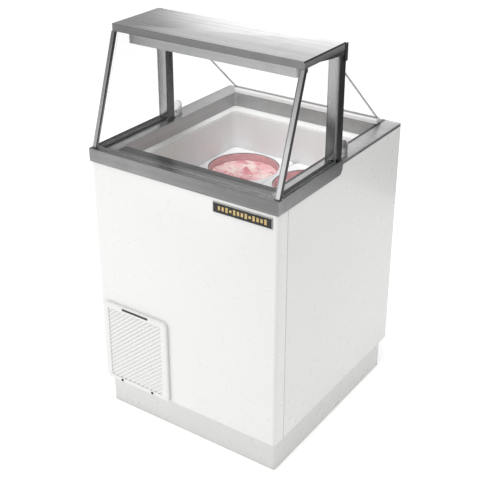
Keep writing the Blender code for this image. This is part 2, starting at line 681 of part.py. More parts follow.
def build_lid():
    strip_y0 = CANOPY_REAR_Y + GAP
    strip_y1 = strip_y0 + 0.0025
    knuckle = 0.040
    centres = (-0.230, 0.0, 0.230)
    low, middle, high = 1.2130, CANOPY_TOP - CANOPY_FLANGE, CANOPY_TOP - 0.001
    narrow = POST_INNER_X - GAP
    strip = prism("lid_hinge_strip", [
        (-narrow, low), (narrow, low), (narrow, middle), (CANOPY_HALF_X, middle), (CANOPY_HALF_X, high),
        (-CANOPY_HALF_X, high), (-CANOPY_HALF_X, middle), (-narrow, middle),
    ], "y", strip_y0, strip_y1, DARK_METAL)
    bore = turned(
        "pin_bore", [(0, -0.30), (PIN_R + 0.0004, -0.30), (PIN_R + 0.0004, 0.30), (0, 0.30)], DARK_METAL,
        (0, LID_PIN_Y, LID_PIN_Z), "x", 16, guide=True,
    )
    for i, centre in enumerate(centres):
        x0, x1 = centre - knuckle / 2, centre + knuckle / 2
        arm = add_box(
            "strip_arm_%d" % i, (x0 + 0.0002, strip_y1 - 0.001, LID_PIN_Z - 0.002),
            (x1 - 0.0002, LID_PIN_Y - 0.001, LID_PIN_Z + 0.002), DARK_METAL, guide=True,
        )
        join(strip, arm)
        join(strip, barrel("strip_barrel_%d" % i, x0, x1))
    for side, name in ((-1, "left"), (1, "right")):
        x0, x1 = sorted((side * (POST_OUTER_X + GAP + 0.0002), side * (CANOPY_HALF_X - 0.0001)))
        join(strip, add_box(
            "strip_end_" + name, (x0, strip_y1 - 0.0005, LID_PIN_Z - 0.013),
            (x1, POST_REAR_Y + 0.002, high - 0.0025), DARK_METAL, guide=True,
        ))
    cut(strip, bore)
    pin_half = centres[-1] + knuckle / 2 + 0.004
    turned(
        "lid_hinge_pin", [(0, -pin_half), (PIN_R, -pin_half), (PIN_R, pin_half), (0, pin_half)], STAINLESS,
        (0, LID_PIN_Y, LID_PIN_Z), "x", 16,
    )

    clamp_t = 0.0015
    inner = LID_PANEL_HALF_T + GAP
    leaf_shape = [
        on_lid(0.0100, -inner - clamp_t), on_lid(0.0300, -inner - clamp_t), on_lid(0.0300, -inner),
        on_lid(LID_PANEL_START - GAP, -inner), on_lid(LID_PANEL_START - GAP, inner), on_lid(0.0300, inner),
        on_lid(0.0300, inner + clamp_t), on_lid(0.0100, inner + clamp_t),
    ]
    leaf = prism("lid_hinge_leaf", leaf_shape, "x", -LID_HALF_X, LID_HALF_X, DARK_METAL)
    for i, centre in enumerate((-0.115, 0.115)):
        x0, x1 = centre - knuckle / 2, centre + knuckle / 2
        corners = ((0.002, -0.002), (0.0115, -0.002), (0.0115, 0.002), (0.002, 0.002))
        tongue = [on_lid(*corner) for corner in corners]
        join(leaf, prism("leaf_tongue_%d" % i, tongue, "x", x0 + GAP, x1 - GAP, DARK_METAL, guide=True))
        join(leaf, barrel("leaf_barrel_%d" % i, x0, x1))
    cut(leaf, bore)

    t = LID_PANEL_HALF_T
    sheet = [
        on_lid(LID_PANEL_START, -t), on_lid(LID_PANEL_END, -t),
        on_lid(LID_PANEL_END, t), on_lid(LID_PANEL_START, t),
    ]
    panel = prism("lid_panel", sheet, "x", -LID_HALF_X + 0.001, LID_HALF_X - 0.001, CLEAR)

    seat = DECK_TOP + GAP
    end = LID_PANEL_END + GAP
    bar_shape = [
        (0.3030, seat), (0.3300, seat), (0.3310, seat + 0.001), (0.3310, seat + 0.008),
        on_lid(end, 0.006), on_lid(end, -0.006), (0.3030, seat + 0.012),
    ]
    bar = prism("lid_handle_bar", bar_shape, "x", -LID_HALF_X, LID_HALF_X, WHITE_PLASTIC)
    pivot_at("lid_pivot", (0.0, LID_PIN_Y, LID_PIN_Z), [leaf, panel, bar])


# ---- cans ---------------------------------------------------------------------------------------
def cell_centres():
    middle_y = (TUB_FRONT_Y + TUB_REAR_Y) / 2
    half = CELL_PITCH / 2
    return (
        ("rear_left", -half, middle_y + half),
        ("rear_right", half, middle_y + half),
        ("front_left", -half, middle_y - half),
        ("front_right", half, middle_y - half),
    )


def build_cans():
    floor_z = TUB_FLOOR + GAP
    can_top = floor_z + CAN_HEIGHT
    wall = 0.0014
    can_profile = [
        (0.0, floor_z), (CAN_BODY_R - 0.004, floor_z), (CAN_BODY_R, can_top - 0.006),
        (CAN_RIM_R, can_top - 0.005), (CAN_RIM_R, can_top), (CAN_BODY_R - wall, can_top),
        (CAN_BODY_R - wall - 0.004, floor_z + 0.002), (0.0, floor_z + 0.002),
    ]
    fill_base = floor_z + 0.002 + GAP
    reach = CAN_BODY_R - wall - 0.004 - GAP
    ice_profile = [
        (0.0, fill_base), (reach - 0.0005, fill_base), (reach + 0.0030, ICE_CREAM_TOP),
        (0.095, ICE_CREAM_TOP + 0.002), (0.070, ICE_CREAM_TOP - 0.004), (0.030, ICE_CREAM_TOP + 0.001),
        (0.0, ICE_CREAM_TOP + 0.003),
    ]
    plate = 0.003
    lip = 0.020
    for name, x, y in cell_centres():
        can = turned("can_" + name, can_profile, PAPER, (x, y, 0), steps=40)
        ice = turned("ice_cream_" + name, ice_profile, ICE_CREAM, (x, y, 0), steps=32)
        pivot_at("can_pivot_" + name, (x, y, floor_z), [can, ice])

        square = (x - SKIRT_HALF, x + SKIRT_HALF, y - SKIRT_HALF, y + SKIRT_HALF)
        corner = TUB_CORNER + 0.001
        skirt = loop_solid("skirt_" + name, [
            (*square, corner, SKIRT_TOP - lip),
            (*square, corner, SKIRT_TOP - 0.002),
            (*grow(square, -0.002), corner - 0.002, SKIRT_TOP),
            (*grow(square, -0.0045), corner - 0.0045, SKIRT_TOP - 0.0012),
            (*grow(square, -0.0046), corner - 0.0046, SKIRT_TOP - plate - 0.001),
            (*grow(square, -0.003), corner - 0.003, SKIRT_TOP - plate - 0.001),
            (*grow(square, -0.003), corner - 0.003, SKIRT_TOP - lip),
        ], WHITE_PLASTIC, closed=True)
        face = add_box(
            "skirt_face_" + name,
            (x - SKIRT_HALF + 0.0022, y - SKIRT_HALF + 0.0022, SKIRT_TOP - plate - 0.0008),
            (x + SKIRT_HALF - 0.0022, y + SKIRT_HALF - 0.0022, SKIRT_TOP - 0.0013), WHITE_PLASTIC, guide=True,
        )
        trim = loop_solid("skirt_trim_" + name, [
            (*grow(square, -0.0022), corner - 0.0022, SKIRT_TOP - 0.01),
            (*grow(square, -0.0022), corner - 0.0022, SKIRT_TOP + 0.01),
        ], WHITE_PLASTIC, closed=False)
        trim.hide_render = True
        trim.display_type = "WIRE"
        combine(face, trim, "INTERSECT")
        join(skirt, face)
        hole = turned(
            "skirt_hole_" + name, [(0, SKIRT_TOP - 0.03), (SKIRT_HOLE_R, SKIRT_TOP - 0.03),
                                   (SKIRT_HOLE_R, SKIRT_TOP + 0.02), (0, SKIRT_TOP + 0.02)],
            WHITE_PLASTIC, (x, y, 0), steps=40, guide=True,
        )
        cut(skirt, hole)


def build_rack():
    """Grid that the can skirts rest on, standing on the tub floor between the cans."""
    top = SKIRT_TOP - 0.020 - GAP
    bar = 0.010
    edge = 0.0085
    reach_x = TUB_HALF_X - 0.0008
    reach_y0, reach_y1 = TUB_FRONT_Y + 0.0008, TUB_REAR_Y - 0.0008
    middle_y = (TUB_FRONT_Y + TUB_REAR_Y) / 2
    rack = loop_solid("can_rack", [
        (-reach_x, reach_x, reach_y0, reach_y1, TUB_CORNER, top - bar),
        (-reach_x, reach_x, reach_y0, reach_y1, TUB_CORNER, top),
    ], GREY_PAINT, closed=False)
    windows = []
    wide = 0.0062
    for x0, x1 in ((-reach_x + edge - 0.0015, -wide), (wide, reach_x - edge + 0.0015)):
        near = (reach_y0 + edge - 0.0015, middle_y - wide)
        far = (middle_y + wide, reach_y1 - edge + 0.0015)
        for y0, y1 in (near, far):
            windows.append(((x0, y0, top - 0.03), (x1, y1, top + 0.03)))
    cut(rack, add_boxes("rack_windows", windows))
    half = 0.0060
    for i, (x, y) in enumerate((
        (0.0, middle_y), (-reach_x + 0.0035, middle_y), (reach_x - 0.0035, middle_y),
        (0.0, reach_y0 + 0.0035), (0.0, reach_y1 - 0.0035),
    )):
        half_x = 0.0033 if abs(x) > 0.1 else half
        half_y = 0.0033 if abs(y - middle_y) > 0.1 else half
        join(rack, add_box(
            "rack_leg_%d" % i, (x - half_x, y - half_y, TUB_FLOOR + GAP),
            (x + half_x, y + half_y, top - 0.001), GREY_PAINT, guide=True,
        ))


# ---- grille and badge ---------------------------------------------------------------------------
def slot_middle(offset):
    """Point at a signed distance from the field's middle, measured across the ribs."""
    middle = Vector(((FIELD_X[0] + FIELD_X[1]) / 2, 0, (FIELD_Z[0] + FIELD_Z[1]) / 2))
    across = Vector((-math.sin(RIB_ANGLE), 0, math.cos(RIB_ANGLE)))
    return middle + across * offset


def build_grille():
    back = BODY_FRONT_Y - GAP
    front = back - GRILLE_DEPTH
    x0, x1 = GRILLE_X
    z0, z1 = GRILLE_Z
    outline = []
    for cx, cz, radius, start in (
        (x1, z0, 0.006, -90), (x1, z1, 0.016, 0), (x0, z1, 0.016, 90), (x0, z0, 0.006, 180),
    ):
        side_x = cx - radius if cx == x1 else cx + radius
        side_z = cz - radius if cz == z1 else cz + radius
        outline += arc((side_x, side_z), radius, start, start + 90, 4)
    grille = prism("grille", outline, "y", front, back, WHITE_PAINT)
    wall = 0.003
    cut(grille, add_box(
        "grille_hollow", (x0 + wall, front + 0.0025, z0 + wall), (x1 - wall, back + 0.01, z1 - wall),
        WHITE_PAINT, guide=True,
    ))
    field = add_box(
        "grille_field", (FIELD_X[0], front - 0.01, FIELD_Z[0]), (FIELD_X[1], front + 0.02, FIELD_Z[1]),
        WHITE_PAINT, guide=True,
    )
    bm = bmesh.new()
    rows = 14
    for row in range(-rows, rows + 1):
        middle = slot_middle(row * RIB_PITCH)
        matrix = (
            Matrix.Translation((middle.x, front, middle.z))
            @ Matrix.Rotation(-RIB_ANGLE, 4, "Y")
            @ Matrix.Diagonal((0.60, 0.03, SLOT_WIDTH, 1.0))
        )
        bmesh.ops.create_cube(bm, size=1.0, matrix=matrix)
    slots = add_object("grille_slots", bm, WHITE_PAINT, guide=True)
    combine(slots, field, "INTERSECT")
    cut(grille, slots)

    face = front - GAP
    add_box("grille_label", (-0.234, face - 0.0012, 0.3895), (-0.132, face, 0.3965), BLACK_PLASTIC)
    for i, x in enumerate((-0.250, -0.126)):
        turned(
            "grille_screw_%d" % (i + 1),
            [(0, 0), (0.0030, 0), (0.0048, 0.0012), (0.0048, 0.0022), (0, 0.0022)],
            DARK_METAL, (x, face - 0.0022, 0.1200), "y", 16,
        )
    badge_back = BODY_FRONT_Y - GAP
    add_box(
        "badge_plate", (0.118, badge_back - 0.0022, 0.829), (0.313, badge_back, 0.861), BLACK_PLASTIC,
        bevel=0.0008,
    )


# ---- refrigeration ------------------------------------------------------------------------------
FAN_X, FAN_Z = -0.188, 0.252


def build_condenser():
    x0, x1 = -0.292, -0.084
    z0, z1 = PLINTH_HEIGHT + 0.003, 0.380
    back = -0.282
    core = add_box("condenser", (x0, -0.300, z0), (x1, back, z1), ALUMINIUM)
    fins = 14
    for i in range(fins):
        x = x0 + 0.004 + i * (x1 - x0 - 0.008) / (fins - 1)
        join(core, add_box(
            "fin_%02d" % i, (x - 0.0012, -0.344, z0 + 0.0005), (x + 0.0012, -0.2999, z1 - 0.0005),
            ALUMINIUM, guide=True,
        ))


def build_fan():
    front = -0.268
    bm = bmesh.new()
    blade_length = 0.088
    for i in range(4):
        matrix = (
            Matrix.Rotation(math.radians(90 * i), 4, "Y")
            @ Matrix.Translation((0, 0, 0.010 + blade_length / 2))
            @ Matrix.Rotation(math.radians(28), 4, "Z")
            @ Matrix.Diagonal((0.046, 0.0018, blade_length, 1.0))
        )
        bmesh.ops.create_cube(bm, size=1.0, matrix=matrix)
    bmesh.ops.transform(bm, matrix=Matrix.Translation((FAN_X, front + 0.012, FAN_Z)), verts=bm.verts)
    blades = add_object("fan_blades", bm, ALUMINIUM, guide=True)
    hub = turned(
        "fan_blade", [(0, 0), (0.016, 0), (0.020, 0.004), (0.020, 0.024), (0, 0.024)], ALUMINIUM,
        (FAN_X, front, FAN_Z), "y", 24,
    )
    join(hub, blades)
    cut(hub, turned(
        "hub_bore", [(0, 0.008), (0.0045, 0.008), (0.0045, 0.04), (0, 0.04)], ALUMINIUM,
        (FAN_X, front, FAN_Z), "y", 16, guide=True,
    ))
    hub.data.transform(Matrix.Translation((-FAN_X, -front, -FAN_Z)))
    hub.location = (FAN_X, front, FAN_Z)

    motor = turned("fan_motor", [
        (0, front + 0.010), (0.0040, front + 0.010), (0.0040, front + 0.030), (0.030, front + 0.030),
        (0.036, front + 0.036), (0.036, front + 0.086), (0.028, front + 0.094), (0, front + 0.094),
    ], DARK_METAL, (FAN_X, 0, FAN_Z), "y", 24)
    foot_z = PLINTH_HEIGHT + GAP
    join(motor, add_box(
        "motor_stand", (FAN_X - 0.020, front + 0.050, foot_z), (FAN_X + 0.020, front + 0.054, FAN_Z),
        DARK_METAL, guide=True,
    ))
    join(motor, add_box(
        "motor_foot", (FAN_X - 0.030, front + 0.040, foot_z), (FAN_X + 0.030, front + 0.080, foot_z + 0.003),
        DARK_METAL, guide=True,
    ))


def smooth_route(points, steps=5):
    """Catmull-Rom curve through the route's points."""
    ends = [points[0]] + list(points) + [points[-1]]
    out = []
    for a, b, c, d in zip(ends, ends[1:], ends[2:], ends[3:]):
        for i in range(steps):
            t = i / steps
            out.append(tuple(
                q + 0.5 * t * ((r - p) + (2 * p - 5 * q + 4 * r - s) * t + (3 * q - p - 3 * r + s) * t * t)
                for p, q, r, s in zip(a, b, c, d)
            ))
    out.append(tuple(points[-1]))
    return out


def build_compressor():
    floor_z = PLINTH_HEIGHT + GAP
    x, y = 0.120, 0.080
    body = turned("compressor", [
        (0, floor_z), (0.060, floor_z), (0.060, floor_z + 0.012), (0.074, floor_z + 0.020),
        (0.080, floor_z + 0.040), (0.080, floor_z + 0.110), (0.082, floor_z + 0.113), (0.080, floor_z + 0.118),
        (0.074, floor_z + 0.150), (0.055, floor_z + 0.172), (0.025, floor_z + 0.182), (0, floor_z + 0.184),
    ], BLACK_PLASTIC, (x, y, 0), steps=32)
    join(body, add_box(
        "compressor_feet", (x - 0.100, y - 0.050, floor_z), (x + 0.100, y + 0.050, floor_z + 0.006),
        BLACK_PLASTIC, guide=True,
    ))
    top = floor_z + 0.184 + GAP
    line_r = 0.0040
    suction = [
        (x, y, top), (x, y, top + 0.030), (x + 0.010, y + 0.030, top + 0.055),
        (x + 0.015, y + 0.070, top + 0.065), (x + 0.015, y + 0.100, top + 0.075),
        (x + 0.015, y + 0.105, FOAM_BOTTOM - GAP),
    ]
    tube("suction_line", smooth_route(suction), line_r, COPPER)
    drier_x, drier_z = -0.040, 0.180
    thin = 0.0030
    liquid = [
        (-0.084 + GAP, -0.291, 0.190), (-0.074, -0.291, 0.190), (-0.052, -0.286, 0.184),
        (drier_x, -0.270, drier_z),
        (drier_x, -0.255, drier_z), (drier_x, -0.247, drier_z), (drier_x, -0.160, drier_z),
        (drier_x, -0.152, drier_z), (drier_x, -0.130, drier_z), (drier_x, -0.100, drier_z + 0.020),
        (drier_x, -0.085, drier_z + 0.080), (drier_x, -0.085, 0.320), (drier_x, -0.085, FOAM_BOTTOM - GAP),
    ]
    widths = [1, 1, 1, 1, 1, 4, 4, 1, 1, 1, 1, 1, 1]
    tube("liquid_line", liquid, thin, COPPER, widths=widths)


def build_controls():
    """Thermostat behind the rear panel with its knob outside, and the gland for the supply cord."""
    x, z = 0.215, 0.300
    inside = BODY_REAR_Y - SHEET - GAP
    outside = BODY_REAR_Y + GAP
    body = add_box(
        "thermostat", (x - 0.022, inside - 0.028, z - 0.030), (x + 0.022, inside, z + 0.030), GREY_PAINT,
        bevel=0.001,
    )
    join(body, turned(
        "thermostat_shaft", [(0, inside - 0.002), (0.0045, inside - 0.002), (0.0045, outside + 0.010),
                             (0, outside + 0.010)], GREY_PAINT, (x, 0, z), "y", 16, guide=True,
    ))
    knob = turned("thermostat_knob", [
        (0.0050, outside + 0.0005), (0.0200, outside + 0.0005), (0.0200, outside + 0.004),
        (0.0160, outside + 0.006), (0.0145, outside + 0.016), (0.0130, outside + 0.0175),
        (0, outside + 0.0175), (0, outside + 0.0108), (0.0050, outside + 0.0108),
    ], BLACK_PLASTIC, (x, 0, z), "y", 32)
    knob.data.transform(Matrix.Translation((-x, -outside, -z)))
    knob.location = (x, outside, z)
    turned("cord_gland", [
        (0.0045, outside - 0.008), (0.0090, outside - 0.008), (0.0090, outside), (0.0140, outside),
        (0.0140, outside + 0.006), (0.0105, outside + 0.0075), (0.0095, outside + 0.016),
        (0.0075, outside + 0.018), (0.0045, outside + 0.018),
    ], BLACK_PLASTIC, (x, 0, 0.175), "y", 24)


build_plinth()
build_panels()
build_tub()
build_deck()
build_rails()
build_posts()
build_glazing()
build_canopy()
build_lamp()
build_lid()
build_cans()
build_rack()
build_grille()
build_condenser()
build_fan()
build_compressor()
build_controls()
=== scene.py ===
"""Looks of the ice cream dipping cabinet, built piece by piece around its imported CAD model.

Metres, +Z up, -Y is the customer's side. Every mesh is made where it stands, so object coordinates
are the cabinet's.
"""
import json
import math

import bmesh
import bpy
from mathutils import Matrix, Vector, noise


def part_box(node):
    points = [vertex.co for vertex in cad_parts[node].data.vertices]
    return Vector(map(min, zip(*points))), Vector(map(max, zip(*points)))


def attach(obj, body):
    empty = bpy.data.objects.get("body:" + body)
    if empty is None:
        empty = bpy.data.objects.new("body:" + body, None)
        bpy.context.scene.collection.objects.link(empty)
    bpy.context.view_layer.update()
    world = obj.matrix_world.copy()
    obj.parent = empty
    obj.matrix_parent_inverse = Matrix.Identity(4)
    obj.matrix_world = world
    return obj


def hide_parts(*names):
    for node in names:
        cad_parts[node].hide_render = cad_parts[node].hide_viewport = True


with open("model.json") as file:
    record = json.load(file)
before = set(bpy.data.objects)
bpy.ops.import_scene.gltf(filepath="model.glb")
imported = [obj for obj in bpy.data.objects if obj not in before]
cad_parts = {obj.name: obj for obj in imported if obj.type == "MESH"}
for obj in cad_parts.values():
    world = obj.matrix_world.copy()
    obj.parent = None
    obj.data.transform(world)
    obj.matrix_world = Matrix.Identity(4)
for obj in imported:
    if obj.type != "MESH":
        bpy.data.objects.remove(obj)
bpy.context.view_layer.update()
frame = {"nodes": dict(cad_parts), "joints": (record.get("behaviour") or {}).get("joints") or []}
PIVOTS = {joint["name"]: joint.get("pos_m") for joint in frame["joints"]}
PIN_Y, PIN_Z = PIVOTS["lid_hinge"][1:]

# ---- sizes that the frame's boxes don't give ----------------------------------------------------
GAP = 0.0003            # clearance between pieces that touch
HAIR = 0.0001           # keeps faces of one piece from lying in one plane
SHEET = 0.0015          # cabinet and deck sheet
PANE = 0.003            # half the lid panel's thickness
FLANGE = 0.022          # height of the shelf's turned-down edge
CORNER_STEPS = 10       # segments in a quarter of a round corner
LID_SLOPE = math.radians(42.5)
LID_START, LID_END = 0.014, 0.432   # the lid panel's ends, down the slope from the pin
RIB_ANGLE = math.radians(40)
RIB_PITCH = 0.0113
SKIRT_HOLE_R = 0.1183
KNUCKLE, BARREL_R, BORE_R = 0.040, 0.0050, 0.0029
CELLS = ("rear_left", "rear_right", "front_left", "front_right")
SIDES = ((-1, "left"), (1, "right"))

WHITE = (0.735, 0.735, 0.725)
STEEL = (0.46, 0.46, 0.465)


# ---- materials ----------------------------------------------------------------------------------
class Graph:
    """Short ways to add the nodes used here to a node tree."""

    def __init__(self, tree, coordinates):
        self.tree = tree
        self.place = self.add("TexCoord").outputs[coordinates]

    def add(self, kind, inputs=None, **settings):
        node = self.tree.nodes.new("ShaderNode" + kind)
        for setting, value in settings.items():
            setattr(node, setting, value)
        for socket, value in (inputs or {}).items():
            self.feed(node.inputs[socket], value)
        return node

    def feed(self, socket, value):
        """Link an output to a socket, or set the socket's own value."""
        if isinstance(value, bpy.types.NodeSocket):
            self.tree.links.new(value, socket)
            return
        if isinstance(value, tuple) and len(socket.default_value) > len(value):
            value = (*value, 1.0)
        socket.default_value = value

    def stretched(self, scale, turn=(0.0, 0.0, 0.0)):
        return self.add("Mapping", {"Vector": self.place, "Rotation": turn, "Scale": scale}).outputs["Vector"]

    def noise(self, scale, detail=3.0, rough=0.55, place=None, warp=0.0):
        return self.add("TexNoise", {
            "Vector": place or self.place, "Scale": scale, "Detail": detail, "Roughness": rough,
            "Distortion": warp,
        }).outputs["Fac"]

    def cells(self, scale):
        return self.add("TexVoronoi", {"Vector": self.place, "Scale": scale}).outputs["Distance"]

    def spread(self, value, low, high, start=0.3, end=0.7):
        return self.add("MapRange", {
            "Value": value, "From Min": start, "From Max": end, "To Min": low, "To Max": high,
        }).outputs["Result"]

    def patches(self, scale, detail=3.0, *limits):
        return self.spread(self.noise(scale, detail), 0.0, 1.0, *limits)

    def varied(self, scale, low, high, detail=3.0):
        return self.spread(self.noise(scale, detail), low, high)

    def total(self, first, second):
        return self.join(first, second, "ADD")

    def join(self, first, second, how="MULTIPLY"):
        node = self.add("Math", {0: first, 1: second}, operation=how)
        if how == "MULTIPLY_ADD":
            node.inputs[2].default_value = 1.0
        return node.outputs["Value"]

    def product(self, first, *others):
        for other in others:
            first = self.join(first, other)
        return first

    def blend(self, factor, first, second):
        return self.add("Mix", {0: factor, 6: first, 7: second}, data_type="RGBA").outputs[2]

    def along(self, axis):
        """One coordinate: X, Y or Z."""
        return self.add("SeparateXYZ", {0: self.place}).outputs[axis]


class Look(Graph):
    """A Principled material whose base colour is built up in layers."""

    def __init__(self, name, colour, **sockets):
        self.material = bpy.data.materials.new(name)
        self.material.use_nodes = True
        super().__init__(self.material.node_tree, "Object")
        self.shader = self.tree.nodes["Principled BSDF"]
        self.colour = self.base = colour
        self.set(**sockets)

    def set(self, **sockets):
        for socket, value in sockets.items():
            self.feed(self.shader.inputs[socket.replace("_", " ")], value)

    def layer(self, factor, shade):
        """Lay a colour over the base; a number stands for that share of the look's own colour."""
        colour = shade if isinstance(shade, tuple) else tone(self.colour, shade)
        self.base = self.blend(factor, self.base, colour)

    def crevice(self, distance):
        """1 in the open, 0 deep in a corner."""
        return self.add("AmbientOcclusion", {"Distance": distance}, samples=4).outputs["AO"]

    def scratches(self, turn, amount=0.62):
        """Sparse hairlines that run one way."""
        lines = self.noise(1.0, 2.0, 0.5, self.stretched((420.0, 420.0, 6.0), turn))
        lines = self.spread(lines, 0.0, 1.0, amount, amount + 0.05)
        return self.join(lines, self.patches(7.0, 2.0, 0.45, 0.6))

    def bump(self, height, strength, distance, under=None):
        inputs = {"Strength": strength, "Distance": distance, "Height": height}
        if under is not None:
            inputs["Normal"] = under
        return self.add("Bump", inputs).outputs["Normal"]

    def finish(self, rough, normal, **others):
        self.set(Base_Color=self.base, Roughness=rough, Normal=normal, **others)
        return self.material


def tone(colour, factor):
    return tuple(min(1.0, channel * factor) for channel in colour)


def enamel(name, colour, corner_shade=0.86):
    """Sprayed enamel on sheet: orange peel, faint waves, painted shade in corners, and a darker band towards
    the floor.
    """
    look = Look(name, colour, IOR=1.5, Coat_Weight=0.25, Coat_Roughness=0.12)
    yellower = (colour[0], colour[1] * 0.985, colour[2] * 0.95)
    look.layer(look.patches(2.2, 2.0), 0.975)
    # painted shade: darker and yellower where ambient occlusion finds corners and creases, broken up by noise
    corners = look.spread(look.crevice(0.018), 1.0, 0.0, 0.35, 0.95)
    look.layer(look.join(corners, look.varied(30.0, 0.3, 1.0)), tone(yellower, corner_shade))
    # darker and yellower towards the floor, in patches
    low = look.spread(look.along("Z"), 1.0, 0.0, 0.0, 0.14)
    look.layer(look.join(low, look.varied(6.0, 0.2, 0.4, 2.0)), tone(yellower, 0.86))
    waves = look.bump(look.noise(5.0, 1.0), 0.2, 0.0015)
    peel = look.bump(look.noise(240.0, 1.0), 0.03, 0.0003, waves)
    return look.finish(look.varied(24.0, 0.26, 0.33, 4.0), peel)


def shade_opening(look, front, side):
    """Painted shade and painted reflection: dark bands on the deck, before the opening's front edge and
    beside its right edge.
    """
    depth, across = look.along("Y"), look.along("X")
    slanted = look.total(look.join(across, -0.02), depth)
    look.layer(look.product(
        look.spread(depth, 1.0, 0.0, front, front + 0.010),
        look.spread(across, 0.0, 1.0, -side, 0.01 - side),
        look.spread(slanted, 0.60, 1.0, front - 0.036, front - 0.026),
        look.spread(across, 0.80, 1.0, -0.20, 0.10),
        look.spread(across, 1.0, 0.0, side + 0.012, side + 0.018),
    ), 0.02)
    look.layer(look.product(
        look.spread(across, 0.0, 1.0, side - 0.004, side),
        look.spread(across, 1.0, 0.0, side + 0.009, side + 0.012),
        look.spread(depth, 0.0, 1.0, front - 0.006, front),
    ), 0.05)


def steel(name, along, share=1.0, rough=(0.18, 0.32), marks=1.0, metallic=1.0, shade=None, painted_light_by_height=None):
    """Brushed stainless sheet with its grain along one axis; share is a tone of the steel, or a colour.

    shade gives the opening that bands of painted shade and painted reflection run round;
    painted_light_by_height paints the tone lighter or darker from one height to another.
    """
    colour = share if isinstance(share, tuple) else tone(STEEL, share)
    look = Look(name, colour, Metallic=metallic)
    fine, wide = [520.0] * 3, [60.0] * 3
    fine[along], wide[along] = 3.0, 1.0
    grain = look.noise(1.0, 5.0, 0.65, look.stretched(tuple(fine)))
    bands = look.noise(1.0, 3.0, 0.5, look.stretched(tuple(wide)))
    smears = look.noise(13.0, 5.0, 0.6, warp=0.6)
    look.base = tone(colour, 0.92)
    look.layer(look.spread(bands, 0.0, 1.0), 1.08)
    look.layer(look.spread(grain, 0.0, 0.28), 1.35)
    look.layer(look.spread(smears, 0.0, 0.25 * marks, 0.52, 0.75), 0.72)
    if shade:
        shade_opening(look, *shade)
    # painted light and shade: the tone changes from one height to another
    if painted_light_by_height:
        bottom, top, factor = painted_light_by_height
        look.layer(look.spread(look.along("Z"), 0.0, 1.0, bottom, top), factor)
    # painted shade: darker where ambient occlusion finds corners and creases
    look.layer(look.spread(look.crevice(0.010), 0.6, 0.0, 0.3, 0.9), 0.35)
    gloss = look.total(look.spread(grain, *rough), look.spread(smears, 0.0, 0.06 * marks))
    return look.finish(gloss, look.bump(grain, 0.08, 0.0002, look.bump(look.noise(6.0, 1.0), 0.12, 0.001)))


def painted_metal(name, colour, rough=0.4):
    """Dark satin paint with rubbed patches."""
    look = Look(name, colour, Metallic=0.25)
    look.layer(look.spread(look.noise(45.0, 5.0, 0.6), 0.0, 1.0, 0.4, 0.8), 1.9)
    look.layer(look.join(look.scratches((0.1, 0.4, 1.1), 0.63), 0.5), 5.0)
    gloss = look.varied(90.0, rough - 0.08, rough + 0.10)
    return look.finish(gloss, look.bump(look.noise(400.0, 2.0), 0.12, 0.0003))


def moulded(name, colour, rough=0.38, grain=0.10, crease_shade=0.80):
    """Moulded plastic: fine spark grain, slight tone changes, rubbed scuffs and painted shade in the corners.
    """
    look = Look(name, colour, IOR=1.46, Subsurface_Weight=0.05, Subsurface_Scale=0.004)
    scuffs = look.scratches((0.8, 0.2, 0.6), 0.64)
    look.layer(look.patches(4.0), 0.95)
    look.layer(look.join(scuffs, 0.4), 0.82)
    # painted shade: darker where ambient occlusion finds corners and creases
    look.layer(look.spread(look.crevice(0.02), 0.85, 0.0, 0.3, 0.95), crease_shade)
    gloss = look.total(look.varied(70.0, rough - 0.06, rough + 0.08), look.join(scuffs, 0.2))
    waves = look.bump(look.noise(9.0, 2.0), 0.12, 0.001)
    return look.finish(gloss, look.bump(look.noise(900.0, 1.0), grain, 0.0002, waves))


def frosted_liner(name, colour):
    """Tub wall: smooth light plastic with a bloom of frost that thickens towards the cans."""
    look = Look(name, colour, IOR=1.46, Subsurface_Weight=0.08, Subsurface_Scale=0.004)
    low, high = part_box("tub_liner")
    crystals = look.noise(85.0, 6.0, 0.7)
    depth = look.spread(look.along("Z"), 1.0, 0.15, low.z + 0.25, high.z)
    frost = look.join(look.spread(crystals, 0.0, 0.5, 0.45, 0.75), depth)
    runs = look.noise(1.0, 3.0, 0.5, look.stretched((60.0, 60.0, 3.0)))
    look.layer(look.patches(3.5), 0.96)
    look.layer(frost, (0.88, 0.90, 0.92))
    look.layer(look.spread(runs, 0.0, 0.2, 0.55, 0.75), 0.90)
    gloss = look.total(look.varied(40.0, 0.26, 0.38), look.join(frost, 0.3))
    return look.finish(gloss, look.bump(crystals, 0.25, 0.0006, look.bump(look.noise(5.0, 1.0), 0.2, 0.0015)))


def rubber(name, colour):
    look = Look(name, colour)
    look.layer(look.spread(look.noise(60.0, 5.0), 0.0, 0.8, 0.4, 0.75), 2.4)
    grain = look.bump(look.noise(500.0, 2.0), 0.2, 0.0003)
    return look.finish(look.varied(120.0, 0.5, 0.75), grain)


def clear_pane(name, colour, high=0.55, rough=0.03):
    """Clear sheet: what it mirrors grows at grazing views; smears and hairlines catch a little light."""
    look = Look(name, colour, Metallic=1.0)
    smears = look.spread(look.noise(5.0, 5.0, 0.6, warp=0.8), 0.0, 0.020, 0.5, 0.75)
    lines = look.join(look.scratches((0.2, 0.5, 0.9), 0.66), 0.06)
    mirror = look.spread(look.add("LayerWeight").outputs["Facing"], 0.022, high, 0.86, 1.0)
    alpha = look.total(look.total(mirror, look.join(smears, look.noise(40.0))), lines)
    look.layer(look.patches(8.0), 0.94)
    gloss = look.total(look.varied(12.0, rough, rough + 0.05, 4.0), look.join(lines, 1.5))
    return look.finish(gloss, look.bump(look.noise(2.5, 1.0), 0.05, 0.001), Alpha=alpha)


